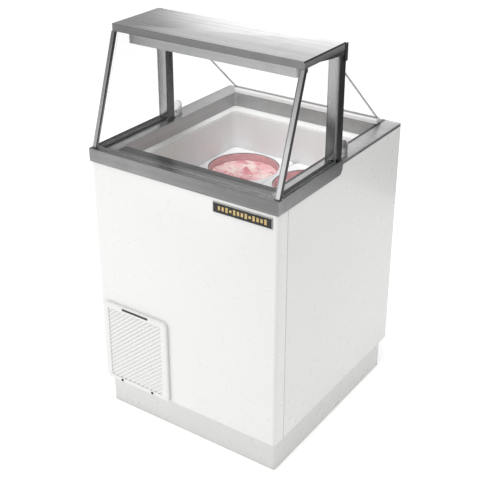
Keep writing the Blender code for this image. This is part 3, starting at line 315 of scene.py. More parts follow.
def pane_edge(name, colour, cover):
    """Sawn and polished edge of a clear sheet."""
    look = Look(name, colour, IOR=1.5)
    saw = look.noise(1.0, 4.0, 0.6, look.stretched((160.0, 160.0, 160.0)))
    look.layer(look.spread(saw, 0.0, 1.0), 1.5)
    alpha = look.varied(30.0, cover - 0.06, cover + 0.06)
    return look.finish(look.spread(saw, 0.15, 0.35), look.bump(saw, 0.2, 0.0003), Alpha=alpha)


def ice_cream(name, colour, pale, ripple):
    """Frozen cream: air pockets, ice crystals and streaks of fruit."""
    look = Look(name, colour, Subsurface_Weight=0.35, Subsurface_Scale=0.008, IOR=1.38)
    look.set(Subsurface_Radius=(1.0, 0.45, 0.35))
    broad = look.noise(11.0, 5.0, 0.6, warp=0.9)
    fine = look.noise(95.0, 6.0, 0.68)
    streaks = look.noise(1.0, 4.0, 0.6, look.stretched((14.0, 28.0, 18.0), (0.3, 0.2, 0.7)), 1.4)
    look.layer(look.spread(broad, 0.0, 1.0, 0.42, 0.58), pale)
    look.layer(look.spread(streaks, 0.0, 0.9, 0.52, 0.62), ripple)
    look.layer(look.spread(fine, 0.0, 0.6, 0.50, 0.72), pale)
    gloss = look.total(look.spread(fine, 0.38, 0.62), look.spread(broad, -0.06, 0.06))
    return look.finish(gloss, look.bump(fine, 0.55, 0.0022, look.bump(look.cells(210.0), 0.25, 0.0012)))


def carton(name, colour):
    """Waxed board with a spiral wound grain."""
    look = Look(name, colour, Coat_Weight=0.15, Coat_Roughness=0.3)
    fibre = look.noise(1.0, 5.0, 0.65, look.stretched((90.0, 90.0, 700.0), (0.2, 0.1, 0.0)))
    look.layer(look.spread(fibre, 0.0, 1.0), 0.90)
    look.layer(look.spread(look.noise(11.0, 4.0), 0.0, 0.5, 0.5, 0.75), 0.80)
    return look.finish(look.spread(fibre, 0.45, 0.65), look.bump(fibre, 0.15, 0.0003))


def smeared(name, colour, frost):
    """Inside of a can above the ice cream, coated by what the scoop left."""
    look = Look(name, colour, Subsurface_Weight=0.2, Subsurface_Scale=0.005)
    smear = look.noise(1.0, 5.0, 0.6, look.stretched((22.0, 22.0, 80.0)), 1.0)
    look.layer(look.spread(smear, 0.0, 1.0, 0.35, 0.7), 0.78)
    look.layer(look.spread(look.noise(70.0, 5.0), 0.0, 0.55, 0.55, 0.75), frost)
    return look.finish(look.spread(smear, 0.35, 0.6), look.bump(smear, 0.4, 0.001))


def lamp_opal(name, colour):
    look = Look(name, colour, Emission_Strength=0.35, Emission_Color=(1.0, 0.98, 0.94))
    look.layer(look.patches(25.0), 0.95)
    return look.finish(look.varied(60.0, 0.2, 0.35), look.bump(look.noise(300.0), 0.1, 0.0003))


def raw_metal(name, colour, rough=(0.28, 0.5)):
    """Copper or aluminium with patches of tarnish."""
    look = Look(name, colour, Metallic=1.0)
    tarnish = look.noise(38.0, 6.0, 0.65)
    look.layer(look.spread(tarnish, 0.0, 0.8, 0.45, 0.72), 0.45)
    return look.finish(look.spread(tarnish, *rough), look.bump(look.noise(260.0), 0.15, 0.0003))


def foam(name, colour):
    look = Look(name, colour)
    pores = look.cells(260.0)
    look.layer(look.patches(20.0, 4.0), 0.82)
    return look.finish(look.spread(pores, 0.7, 0.95, 0.0, 0.6), look.bump(pores, 0.6, 0.001))


ENAMEL = enamel("white_enamel", WHITE)
ENAMEL_GRILLE = enamel("grille_enamel", tone(WHITE, 0.97), 0.88)
# the plinth's enamel is set darker than the body's, with deeper corner shade: painted shade under the body's
# overhang
ENAMEL_BASE_SHADED = enamel("base_enamel_shaded", tone(WHITE, 0.86), 0.76)
GREY_PAINT = enamel("grey_enamel", (0.55, 0.55, 0.54), 0.6)
STEEL_RAIL = steel("steel_rail", 0, 0.53, (0.20, 0.34), 1.2)
STEEL_RAIL_TOP = steel("steel_rail_top", 0, 0.52, (0.20, 0.34), 1.2)
STEEL_SIDE_RAIL = steel("steel_side_rail", 1, 0.50, (0.20, 0.34))
# the posts' fronts grow lighter towards the top, and their sides take a far darker copy of the steel: painted
# light and painted shade
STEEL_POST = steel("steel_post", 2, 0.68, (0.16, 0.26), 0.5, painted_light_by_height=(0.98, 1.18, 1.45))
STEEL_POST_SHADED_SIDE = steel("steel_post_shaded_side", 2, 0.20, (0.20, 0.30), 0.5)
# the post ears get a bright copy of the steel: painted highlight
STEEL_EAR_HIGHLIGHT = steel("steel_ear_highlight", 2, 1.5, (0.20, 0.30), 0.5)
# the channels' fronts take a lighter copy of the steel, their stepped inner faces and outside legs darker
# ones, each changing with height: painted light and painted shade
STEEL_CHANNEL_LIT_FRONT = steel("steel_channel_lit_front", 2, 1.45, (0.20, 0.28), 0.5, painted_light_by_height=(1.00, 1.22, 0.50))
STEEL_CHANNEL_SHADED_STEP = steel("steel_channel_shaded_step", 2, 0.85, (0.25, 0.35), 0.5, painted_light_by_height=(0.95, 1.20, 0.35))
STEEL_CHANNEL_SHADED_SIDE = steel("steel_channel_shaded_side", 2, 0.18, (0.30, 0.42), painted_light_by_height=(1.10, 1.22, 0.75))
# the shelf's top takes a much lighter copy of the steel than its fascia and ends, and the ends darken above a
# height: painted light and painted shade
STEEL_SHELF_LIT_TOP = steel("steel_shelf_lit_top", 0, 1.40, (0.15, 0.24))
STEEL_FASCIA_SHADED = steel("steel_fascia_shaded", 0, 0.50, (0.20, 0.30))
STEEL_END_SHADED = steel("steel_end_shaded", 1, 0.52, (0.25, 0.35), painted_light_by_height=(1.2555, 1.2575, 0.14))
STEEL_LAMP = steel("steel_lamp", 0, 0.92, (0.28, 0.40))
STEEL_PIN = steel("steel_pin", 0)
# the deck's steel carries bands of painted shade and painted reflection round the opening
STEEL_DECK = steel("steel_deck", 0, 0.85, (0.22, 0.34), 1.4, shade=(-0.276, 0.268))
# the opening's inner walls take a darker, duller copy of the deck's steel: painted shade
STEEL_LIP_SHADED = steel("steel_lip_shaded", 1, (0.39, 0.395, 0.395), (0.34, 0.46), metallic=0.45)
DARK = painted_metal("black_satin", (0.016, 0.016, 0.017))
BREAKER = moulded("breaker_plastic", (0.84, 0.84, 0.835), 0.34)
SKIRT = moulded("skirt_plastic", (0.86, 0.865, 0.87), 0.30, 0.06, 0.84)
BAR = moulded("bar_plastic", (0.85, 0.85, 0.85), 0.30, 0.06)
BLACK = moulded("black_plastic", (0.014, 0.014, 0.014), 0.40, 0.15, 0.6)
LINER = frosted_liner("tub_plastic", (0.77, 0.785, 0.785))
RUBBER = rubber("gasket_rubber", (0.035, 0.035, 0.036))
GLASS = clear_pane("guard_glass", (0.93, 0.95, 0.95))
GLASS_EDGE = pane_edge("guard_glass_edge", (0.42, 0.46, 0.455), 0.28)
LID_CLEAR = clear_pane("lid_clear", (0.94, 0.95, 0.96), 0.5, 0.05)
LID_EDGE = pane_edge("lid_edge", (0.20, 0.205, 0.21), 0.85)
LID_MARGIN = pane_edge("lid_margin", (0.42, 0.43, 0.44), 0.45)
CREAM = ice_cream("strawberry_ice", (0.80, 0.44, 0.46), (0.87, 0.73, 0.70), (0.62, 0.18, 0.22))
VANILLA = ice_cream("vanilla_ice", (0.84, 0.78, 0.65), (0.88, 0.86, 0.79), (0.74, 0.64, 0.46))
CARTON = carton("can_board", (0.78, 0.75, 0.71))
SMEARED = smeared("can_smeared", (0.68, 0.36, 0.38), (0.84, 0.66, 0.64))
SMEARED_VANILLA = smeared("can_smeared_vanilla", (0.72, 0.62, 0.46), (0.84, 0.80, 0.70))
OPAL = lamp_opal("lamp_opal", (0.9, 0.9, 0.88))
COPPER = raw_metal("copper_tube", (0.70, 0.36, 0.22))
ALUMINIUM = raw_metal("mill_aluminium", (0.62, 0.63, 0.64))
FOAM = foam("insulation", (0.74, 0.62, 0.38))
SHELL = painted_metal("compressor_paint", (0.012, 0.012, 0.013), 0.32)
GOLD = raw_metal("gold_foil", (0.80, 0.60, 0.28), (0.2, 0.35))
BORDER = raw_metal("plate_border", (0.82, 0.82, 0.80), (0.2, 0.35))


# ---- shapes -------------------------------------------------------------------------------------
def new_object(name, bm):
    mesh = bpy.data.meshes.new(name)
    bm.to_mesh(mesh)
    bm.free()
    made = bpy.data.objects.new(name, mesh)
    bpy.context.scene.collection.objects.link(made)
    return made


def make(name, bm, looks, body="cabinet", replaces=True, bevel=0.0, segments=2, angle=32):
    """Turn a bmesh into a piece that rides on a body, in place of the CAD node of its name."""
    bmesh.ops.recalc_face_normals(bm, faces=bm.faces)
    piece = new_object(name, bm)
    piece.data.shade_smooth()
    piece.data.set_sharp_from_angle(angle=math.radians(angle))
    for material in looks if isinstance(looks, list) else [looks]:
        piece.data.materials.append(material)
    if bevel:
        rounding = piece.modifiers.new("rounding", "BEVEL")
        rounding.width = bevel
        rounding.segments = segments
        rounding.limit_method = "ANGLE"
        rounding.angle_limit = math.radians(angle)
        rounding.use_clamp_overlap = True
        rounding.harden_normals = True
    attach(piece, body)
    if replaces:
        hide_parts(name)
    return piece


def guide(name, bm):
    """A cutter that isn't shown."""
    bmesh.ops.recalc_face_normals(bm, faces=bm.faces)
    tool = new_object(name, bm)
    tool.hide_render = True
    tool.hide_viewport = True
    tool.display_type = "WIRE"
    return tool


def cut(piece, tool):
    """Cut before the piece's edges are rounded."""
    hole = piece.modifiers.new(tool.name, "BOOLEAN")
    hole.operation = "DIFFERENCE"
    hole.solver = "EXACT"
    hole.object = tool
    position = len(piece.modifiers) - 1
    while position and piece.modifiers[position - 1].type == "BEVEL":
        piece.modifiers.move(position, position - 1)
        position -= 1


def add_box(bm, low, high, material=0):
    middle = [(a + b) / 2 for a, b in zip(low, high)]
    size = [b - a for a, b in zip(low, high)]
    matrix = Matrix.Translation(middle) @ Matrix.Diagonal((*size, 1.0))
    made = bmesh.ops.create_cube(bm, size=1.0, matrix=matrix)["verts"]
    for face in {f for v in made for f in v.link_faces}:
        face.material_index = material


def block(low, high):
    """A bmesh of one box."""
    bm = bmesh.new()
    add_box(bm, low, high)
    return bm


def solid(add, *arguments, **settings):
    """A bmesh of what one of the functions below adds."""
    bm = bmesh.new()
    add(bm, *arguments, **settings)
    return bm


def arc(centre, radius, start, end, steps=CORNER_STEPS):
    turns = [math.radians(start + (end - start) * i / steps) for i in range(steps + 1)]
    return [(centre[0] + radius * math.cos(turn), centre[1] + radius * math.sin(turn)) for turn in turns]


def quarter(steps):
    """(1 - cosine, 1 - sine) in even steps through a right angle."""
    turns = [math.radians(90 * i / steps) for i in range(steps + 1)]
    return [(1 - math.cos(turn), 1 - math.sin(turn)) for turn in turns]


def rounded_rectangle(x0, x1, y0, y1, radius, steps=CORNER_STEPS):
    west, east, south, north = x0 + radius, x1 - radius, y0 + radius, y1 - radius
    points = []
    for x, y, start in ((east, south, -90), (east, north, 0), (west, north, 90), (west, south, 180)):
        points += arc((x, y), radius, start, start + 90, steps)
    return points


def grow(rectangle, amount):
    x0, x1, y0, y1 = rectangle
    return (x0 - amount, x1 + amount, y0 - amount, y1 + amount)


def plan(node):
    """A node's box seen from above."""
    low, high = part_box(node)
    return (low.x, high.x, low.y, high.y)


def around(count):
    return [(i, (i + 1) % count) for i in range(count)]


def skin(bm, rings, closed=True, material=0, caps=0):
    """Join loops with the same number of corners; an open run is capped at both ends.

    material is one index, or one for each side of the loops.
    """
    following = rings[1:] + rings[:1] if closed else rings[1:]
    for first, second in zip(rings, following):
        for i, j in around(len(first)):
            face = bm.faces.new((first[i], first[j], second[j], second[i]))
            face.material_index = material[i] if isinstance(material, list) else material
    if not closed:
        for ring in (rings[0], rings[-1]):
            bm.faces.new(ring).material_index = caps


PLACE = {
    "x": lambda a, b, t: (t, a, b),
    "y": lambda a, b, t: (a, t, b),
    "z": lambda a, b, t: (a, b, t),
}


def add_prism(bm, outline, axis, start, end, material=0):
    """Extrude an outline of (y, z), (x, z) or (x, y) points."""
    rings = [[bm.verts.new(PLACE[axis](a, b, t)) for a, b in outline] for t in (start, end)]
    skin(bm, rings, False, material, material)


def add_loops(bm, loops, closed, steps=CORNER_STEPS, material=0):
    """Skin rounded rectangles (x0, x1, y0, y1, radius, z)."""
    rings = [
        [bm.verts.new((x, y, height)) for x, y in rounded_rectangle(*shape, steps)]
        for *shape, height in loops
    ]
    skin(bm, rings, closed, material, material)


TURN = {
    "z": Matrix.Identity(4),
    "y": Matrix.Rotation(math.radians(-90), 4, "X"),
    "x": Matrix.Rotation(math.radians(90), 4, "Y"),
}


def add_turned(bm, profile, centre, axis="z", steps=64, materials=None):
    """Turn a closed (radius, height) profile about an axis; materials gives one index to each stretch."""
    rings = []
    for radius, height in profile:
        points = arc((0, 0), radius, 0, 360, steps)[:1 if radius < 1e-6 else steps]
        rings.append([bm.verts.new((x, y, height)) for x, y in points])
    for stretch, (lower, upper) in enumerate(zip(rings, rings[1:] + rings[:1])):
        if len(lower) == len(upper) == 1:
            continue
        for i, j in around(steps):
            corners = [ring[k % len(ring)] for ring, k in ((lower, i), (lower, j), (upper, j), (upper, i))]
            face = bm.faces.new(list(dict.fromkeys(corners)))
            face.material_index = materials[stretch] if materials else 0
    made = [vert for ring in rings for vert in ring]
    bmesh.ops.transform(bm, matrix=Matrix.Translation(centre) @ TURN[axis], verts=made)


def sided(side, a, b):
    return sorted((side * a, side * b))


def flip(side, outline):
    """An outline for the right side, mirrored for the left one."""
    return outline if side > 0 else [(-x, y) for x, y in outline]


def middle_of(node):
    return sum(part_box(node), Vector()) / 2


# ---- cabinet body -------------------------------------------------------------------------------
def plinth():
    pan, top = plan("plinth"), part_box("plinth")[1].z
    inset_side, inset_front, inset_rear = 0.011, 0.020, 0.016
    outer = (pan[0] + inset_side, pan[1] - inset_side, pan[2] + inset_front, pan[3] - inset_rear)
    wall, foot = 0.002, 0.030
    bm = bmesh.new()
    add_loops(bm, [
        (*grow(outer, -wall), 0.005, top - wall), (*grow(outer, -wall), 0.005, wall),
        (*grow(outer, -foot), 0.005, wall), (*grow(outer, -foot), 0.005, 0.0),
        (*outer, 0.007, 0.0), (*outer, 0.007, top - wall), (*pan, 0.009, top - wall), (*pan, 0.009, top),
    ], closed=False)
    make("plinth", bm, ENAMEL_BASE_SHADED, bevel=0.0008)


def front_panel():
    low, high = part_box("front_panel")
    corner, edge, edge_steps = 0.010, 0.003, 5
    lip_x = high.x - 0.010
    edge_centre, corner_centre = (high.x - edge, high.y - edge), (high.x - corner, low.y + corner)
    right = arc(corner_centre, corner, 270, 360) + arc(edge_centre, edge, 0, 90, edge_steps)
    right += [(lip_x, high.y), (lip_x, high.y - SHEET)]
    right += arc(edge_centre, edge - SHEET, 90, 0, edge_steps) + arc(corner_centre, corner - SHEET, 360, 270)
    left = [(-x, y) for x, y in reversed(right)]
    bm = bmesh.new()
    add_prism(bm, right + left, "z", low.z, high.z)
    panel = make("front_panel", bm, ENAMEL, bevel=0.0005)
    frame_low, frame_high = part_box("grille")
    cut(panel, guide("cut_grille_window", block(
        (frame_low.x + 0.012, low.y - 0.01, frame_low.z + 0.014),
        (frame_high.x - 0.020, low.y + 0.01, frame_high.z - 0.014),
    )))


def side_panels():
    low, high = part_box("right_side_panel")
    edge, edge_steps = 0.003, 5
    centre = (high.x - edge, low.y + edge)
    outline = [(low.x, low.y)] + arc(centre, edge, -90, 0, edge_steps)
    outline += [(high.x, high.y), (high.x - SHEET, high.y)]
    outline += arc(centre, edge - SHEET, 0, -90, edge_steps) + [(low.x, low.y + SHEET)]
    for side, name in SIDES[::-1]:
        bm = bmesh.new()
        add_prism(bm, flip(side, outline), "z", low.z, high.z)
        make(name + "_side_panel", bm, ENAMEL, bevel=0.0005)


def rear_panel():
    low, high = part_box("rear_panel")
    through = (low.y - 0.01, high.y + 0.01)
    panel = make("rear_panel", block(low, high), ENAMEL, bevel=0.0004)
    slot_half_x, slot_half_z, pitch = 0.065, 0.0045, 0.024
    slot = rounded_rectangle(-slot_half_x, slot_half_x, -slot_half_z, slot_half_z, 0.0044, 5)
    bm = bmesh.new()
    for row in range(8):
        for x in (-0.235, -0.075):
            z = 0.170 + row * pitch + slot_half_z
            add_prism(bm, [(x + a, z + b) for a, b in slot], "y", *through)
    for node, radius in (("thermostat_knob", 0.0053), ("cord_gland", 0.0093)):
        middle = middle_of(node)
        add_prism(bm, arc((middle.x, middle.z), radius, 0, 345, 23), "y", *through)
    cut(panel, guide("cut_rear_slots", bm))


# ---- tub and deck -------------------------------------------------------------------------------
def tub_rectangle():
    """Inside of the tub, from the rack that fills it."""
    return grow(plan("can_rack"), 0.0008)


def opening_rectangle():
    """Opening in the deck, 4 mm inside the breaker strip's outer edge."""
    return grow(plan("breaker_strip"), -0.004)


def tub():
    low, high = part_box("tub_liner")
    inside, flange = tub_rectangle(), plan("tub_liner")
    corner, cove, flange_corner, rounding = 0.022, 0.012, 0.0165, 0.001
    loops = [
        (*grow(inside, SHEET), corner + SHEET, low.z), (*grow(inside, SHEET), corner + SHEET, high.z - SHEET),
        (*flange, flange_corner, high.z - SHEET), (*flange, flange_corner, high.z),
        (*grow(inside, rounding), corner + rounding, high.z), (*inside, corner, high.z - rounding),
    ]
    for turned, left in quarter(5):
        loops.append((*grow(inside, -cove * turned), corner - cove * turned, low.z + SHEET + cove * left))
    make("tub_liner", solid(add_loops, loops, closed=False), LINER, bevel=0.0005)


def breaker():
    low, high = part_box("breaker_strip")
    opening, outer = opening_rectangle(), plan("breaker_strip")
    inner = grow(tub_rectangle(), SHEET)
    step = tuple((a * 0.45 + b * 0.55) for a, b in zip(opening, inner))
    bm = bmesh.new()
    add_loops(bm, [
        (*outer, 0.016, low.z), (*outer, 0.016, high.z), (*grow(opening, -0.001), 0.011, high.z),
        (*grow(step, 0.0015), 0.019, high.z - 0.0028), (*step, 0.019, high.z - 0.0046),
        (*grow(inner, 0.0006), 0.0238, low.z + 0.0056), (*inner, 0.0235, low.z + 0.0046),
        (*inner, 0.0235, low.z),
    ], closed=True)
    make("breaker_strip", bm, BREAKER, bevel=0.0006)


def deck():
    low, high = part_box("deck_top")
    opening, outer = opening_rectangle(), plan("deck_top")
    lip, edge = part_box("breaker_strip")[1].z + GAP, high.z - 0.009
    bend, radius, corner = 0.0018, 0.012, 0.005
    loops = [(*opening, radius, lip)]
    for turned, left in quarter(5):
        loops.append((*grow(opening, bend * turned), radius + bend * turned, high.z - bend * left))
    for turned, left in quarter(5):
        loops.append((*grow(outer, -bend * left), corner - bend * left, high.z - bend * turned))
    loops += [
        (*outer, corner, edge), (*grow(outer, -SHEET), corner - SHEET, edge),
        (*grow(outer, -SHEET), corner - SHEET, high.z - SHEET),
        (*grow(opening, SHEET), radius + SHEET, high.z - SHEET), (*grow(opening, SHEET), radius + SHEET, lip),
    ]
    bm = bmesh.new()
    add_loops(bm, loops, closed=True)
    x0, x1, y0, y1 = grow(opening, SHEET / 2)
    # faces inside the opening take the darker copy of the steel: painted shade
    for face in bm.faces:
        x, y, z = face.calc_center_median()
        if x0 < x < x1 and y0 < y < y1 and z < high.z - bend:
            face.material_index = 1
    add_box(bm, (low.x + 0.006, high.y - SHEET + HAIR, low.z), (high.x - 0.006, high.y - HAIR, edge + 0.0015))
    make("deck_top", bm, [STEEL_DECK, STEEL_LIP_SHADED])


# ---- sneeze guard -------------------------------------------------------------------------------
def rails():
    low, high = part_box("guard_front_rail")
    deck_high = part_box("deck_top")[1]
    seat, wall = deck_high.z + GAP, 0.002
    inner = low.y + wall
    bm = bmesh.new()
    add_prism(bm, [
        (low.y, low.z), (low.y, high.z), (high.y, high.z), (high.y, seat), (inner, seat), (inner, low.z),
    ], "x", low.x, high.x)
    for face in bm.faces:
        if face.calc_center_median().z > high.z - HAIR:
            face.material_index = 1
    for side, _ in SIDES:
        x0, x1 = sided(side, high.x - wall, high.x - HAIR)
        add_box(bm, (x0, low.y + 0.0005, low.z + HAIR), (x1, high.y - 0.0002, high.z - 0.0015))
    make("guard_front_rail", bm, [STEEL_RAIL, STEEL_RAIL_TOP], bevel=0.0007)

    low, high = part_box("guard_side_rail_right")
    post_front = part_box("post_right")[0].y
    floor, skirt_x, inner, chamfer = seat + wall, deck_high.x + GAP, low.x + wall, 0.004
    section = [
        (low.x, seat), (skirt_x, seat), (skirt_x, low.z), (high.x, low.z), (high.x, high.z),
        (skirt_x, high.z), (skirt_x, floor), (inner, floor), (inner, high.z), (low.x, high.z),
    ]
    tail = [
        (post_front - 0.016, low.z), (post_front + 0.014, low.z), (high.y - chamfer, low.z + 0.012),
        (high.y, high.z - chamfer), (high.y - chamfer, high.z), (post_front - 0.016, high.z),
    ]
    for side, name in SIDES:
        bm = bmesh.new()
        add_prism(bm, flip(side, section), "y", low.y, post_front - GAP)
        add_prism(bm, tail, "x", *sided(side, skirt_x + HAIR, high.x - HAIR))
        make("guard_side_rail_" + name, bm, STEEL_SIDE_RAIL, bevel=0.0007)


def gaskets():
    """Rubber channels the side glasses stand in, with two lips against each glass."""
    low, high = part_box("glass_gasket_right")
    glass_in, glass_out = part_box("side_glass_right")[0].x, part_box("side_glass_right")[1].x
    lip, slope, floor = 0.0006, 0.0008, low.z + 0.0016
    outline = [
        (low.x, low.z), (high.x, low.z), (high.x, high.z - lip), (glass_out + 0.004, high.z),
        (glass_out + lip, high.z - slope), (glass_out + lip, floor), (glass_in - lip, floor),
        (glass_in - lip, high.z - slope), (glass_in - 0.004, high.z), (low.x, high.z - lip),
    ]
    for side, name in SIDES:
        bm = bmesh.new()
        add_prism(bm, flip(side, outline), "y", low.y, high.y)
        make("glass_gasket_" + name, bm, RUBBER, bevel=0.0003)


def posts():
    low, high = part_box("post_right")
    rear, wall, foot, ear_thick = low.y + 0.036, 0.002, 0.003, 0.003
    ear_inner, ear_outer, ear_top = 0.290, 0.318, 0.940
    for side, name in SIDES:
        outer = (*sided(side, low.x, high.x), low.y, rear)
        bm = bmesh.new()
        add_loops(bm, [
            (*outer, 0.003, low.z), (*outer, 0.003, high.z),
            (*grow(outer, -wall), 0.001, high.z), (*grow(outer, -wall), 0.001, low.z),
        ], closed=True, steps=5)
        bm.normal_update()
        # faces that look sideways take the darker copy of the steel: painted shade
        for face in bm.faces:
            face.material_index = 1 if abs(face.normal.x) > 0.3 else 0
        # the foot and the ear take the bright copy of the steel: painted highlight
        e0, e1 = sided(side, ear_inner, ear_outer)
        add_box(bm, (e0, rear - 0.0005, low.z), (e1, high.y, low.z + foot), 2)
        ear = [(e0 + HAIR, low.z + 0.001), (e1 - HAIR, low.z + 0.001)]
        ear += arc(((e0 + e1) / 2, ear_top), (e1 - e0) / 2 - HAIR, 0, 180, 16)
        add_prism(bm, ear, "y", high.y - 0.0005 - ear_thick, high.y - 0.0005, 2)
        make("post_" + name, bm, [STEEL_POST, STEEL_POST_SHADED_SIDE, STEEL_EAR_HIGHLIGHT], bevel=0.0005)


CHANNEL_DEPTH = 0.015
CHANNEL_LOW, CHANNEL_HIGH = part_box("front_channel_right")
# how far the slanted front runs back for each metre it rises
LEAN = (CHANNEL_HIGH.y - CHANNEL_LOW.y - CHANNEL_DEPTH) / (CHANNEL_HIGH.z - CHANNEL_LOW.z)


def channels():
    """Angle section whose inner edge is stepped back to the front glass, with a leg along the outside."""
    low, high = CHANNEL_LOW, CHANNEL_HIGH
    step_x, step_y, thick = low.x + 0.0050, 0.0040, 0.0022
    leg = step_y + thick
    section = [
        (low.x, step_y), (step_x, step_y), (step_x, 0), (high.x, 0), (high.x, CHANNEL_DEPTH),
        (high.x - thick, CHANNEL_DEPTH), (high.x - thick, leg), (low.x, leg),
    ]
    # lighter and darker copies of the steel, face by face: painted light and painted shade
    metals = [STEEL_CHANNEL_LIT_FRONT, STEEL_CHANNEL_SHADED_STEP, STEEL_CHANNEL_SHADED_SIDE]
    for side, name in SIDES:
        bm = bmesh.new()
        rows = [
            [bm.verts.new((side * x, low.y + LEAN * (z - low.z) + y, z)) for x, y in section]
            for z in (low.z, high.z)
        ]
        skin(bm, rows, closed=False, material=[1, 2, 0, 2, 2, 2, 2, 2])
        make("front_channel_" + name, bm, metals, bevel=0.0005)


def pane(node, corners, thickness):
    """A flat sheet of glass from its corners on one face; the rim faces show the edge of the glass."""
    bm = bmesh.new()
    rings = [[bm.verts.new(Vector(corner) + back) for corner in corners] for back in (Vector(), thickness)]
    skin(bm, rings, closed=False, material=1)
    make(node, bm, [GLASS, GLASS_EDGE], bevel=0.0005)


def glazing():
    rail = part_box("guard_front_rail")[1]
    step_y, step_z = rail.y + GAP, rail.z + GAP
    low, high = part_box("front_glass")
    top_y = low.y + LEAN * (high.z - low.z)
    pane("front_glass", [
        (low.x, low.y, low.z), (high.x, low.y, low.z), (high.x, top_y, high.z), (low.x, top_y, high.z),
    ], Vector((0, high.y - top_y, 0)))
    for _, name in SIDES:
        low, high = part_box("side_glass_" + name)
        top_front = low.y + LEAN * (high.z - step_z)
        pane("side_glass_" + name, [(low.x, y, z) for y, z in (
            (step_y, low.z), (high.y, low.z), (high.y, high.z), (top_front, high.z), (low.y, step_z),
            (step_y, step_z),
        )], Vector((high.x - low.x, 0, 0)))


def canopy():
    low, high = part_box("canopy_shelf")
    top, bottom = plan("canopy_shelf"), high.z - FLANGE
    bend, corner = 0.0010, 0.004
    loops = [
        (*grow(top, -SHEET), corner - SHEET, high.z - SHEET), (*grow(top, -SHEET), corner - SHEET, bottom),
        (*top, corner, bottom),
    ]
    for turned, left in quarter(3):
        loops.append((*grow(top, -bend * turned), corner - bend * turned, high.z - bend * left))
    bm = bmesh.new()
    add_loops(bm, loops, closed=False, steps=6, material=1)
    bm.normal_update()
    # the top takes the lighter copy of the steel, the ends a darker one: painted light and painted shade
    for face in bm.faces:
        if face.calc_center_median().z > high.z - HAIR:
            face.material_index = 0
        elif abs(face.normal.x) > 0.7:
            face.material_index = 2
    front, rear = low.y + 0.0885, high.y - 0.0025
    web = [
        (front, bottom + 0.004), (front, bottom - 0.001), (front + 0.032, bottom - 0.005),
        (front + 0.065, bottom - 0.009), (front + 0.100, bottom - 0.012), (rear, low.z),
        (rear, bottom + 0.004),
    ]
    for side, _ in SIDES:
        add_prism(bm, web, "x", *sided(side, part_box("post_right")[1].x + GAP, high.x - 0.0004), 3)
    make("canopy_shelf", bm, [STEEL_SHELF_LIT_TOP, STEEL_FASCIA_SHADED, STEEL_END_SHADED, DARK], bevel=0.0004)


def lamp():
    low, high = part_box("lamp_housing")
    rear, wall, corner = high.y - 0.0033, 0.0012, 0.003
    outer = (low.x, high.x, low.y, rear)
    bm = bmesh.new()
    add_loops(bm, [
        (*grow(outer, -wall), corner - wall, high.z - wall), (*grow(outer, -wall), corner - wall, low.z),
        (*outer, corner, low.z), (*outer, corner, high.z),
    ], closed=False, steps=5)
    housing = make("lamp_housing", bm, STEEL_LAMP, bevel=0.0006)
    switch_low, switch_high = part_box("switch_rocker")
    z, play, half, rim = middle_of("switch_rocker").z, 0.0008, 0.0105, 0.0125
    window = guide("cut_switch_window", block(
        (switch_low.x - play, rear - 0.01, z - half), (switch_high.x + play, rear + 0.01, z + half),
    ))
    cut(housing, window)
    bezel = block((switch_low.x - 0.0043, rear + HAIR, z - rim), (switch_high.x + 0.0043, high.y, z + rim))
    cut(make("switch_bezel", bezel, BLACK, replaces=False, bevel=0.0008, segments=3), window)
    switch(switch_low.x, switch_high.x)

    low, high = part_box("lamp_tube")
    half, cap, tube_r, cap_r = (high.x - low.x) / 2, 0.018, 0.008, 0.012
    bm = bmesh.new()
    add_turned(bm, [
        (0, -half), (cap_r - 0.0005, -half), (cap_r, -half + 0.0005), (cap_r, -half + cap),
        (tube_r, -half + cap + 0.001), (tube_r, half - cap - 0.001), (cap_r, half - cap),
        (cap_r, half - 0.0005), (cap_r - 0.0005, half), (0, half),
    ], middle_of("lamp_tube"), "x", 32, materials=[1, 1, 1, 1, 0, 1, 1, 1, 1, 0])
    make("lamp_tube", bm, [OPAL, BAR])

    low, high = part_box("lamp_diffuser")
    ridges, valley = 22, low.z + 0.0006
    width = (high.y - low.y) / ridges
    outline = [(low.y, high.z), (low.y, valley)]
    for i in range(ridges):
        outline += [(low.y + width * (i + 0.5), low.z), (low.y + width * (i + 1), valley)]
    make("lamp_diffuser", solid(add_prism, outline + [(high.y, high.z)], "x", low.x, high.x), OPAL)


def switch(x0, x1):
    """Rocker with a dished face, resting on one half."""
    _, joint_y, joint_z = PIVOTS["lamp_switch_rock"]
    tilt, half, back = math.radians(-7), 0.0090, -0.004
    outline = [(back, -half)]
    for i in range(9):
        z = -half + 2 * half * i / 8
        outline.append((0.0026 + 0.0013 * (z / half) ** 2, z))
    outline.append((back, half))
    turn = Matrix.Rotation(tilt, 2)
    turned = [Vector((joint_y, joint_z)) + turn @ Vector(point) for point in outline]
    bm = bmesh.new()
    add_prism(bm, turned, "x", x0, x1)
    make("switch_rocker", bm, BLACK, "lamp_switch", bevel=0.0004)


# ---- lid ----------------------------------------------------------------------------------------
def on_lid(along, across):
    """World (y, z) of a point given along the closed lid's slope from the pin, and across it."""
    cosine, sine = math.cos(LID_SLOPE), math.sin(LID_SLOPE)
    return (PIN_Y + along * cosine + across * sine, PIN_Z - along * sine + across * cosine)


def add_barrel(bm, x0, x1):
    chamfer = 0.0003
    add_turned(bm, [
        (BORE_R, x0), (BARREL_R - chamfer, x0), (BARREL_R, x0 + chamfer), (BARREL_R, x1 - chamfer),
        (BARREL_R - chamfer, x1), (BORE_R, x1),
    ], (0, PIN_Y, PIN_Z), "x", 32)


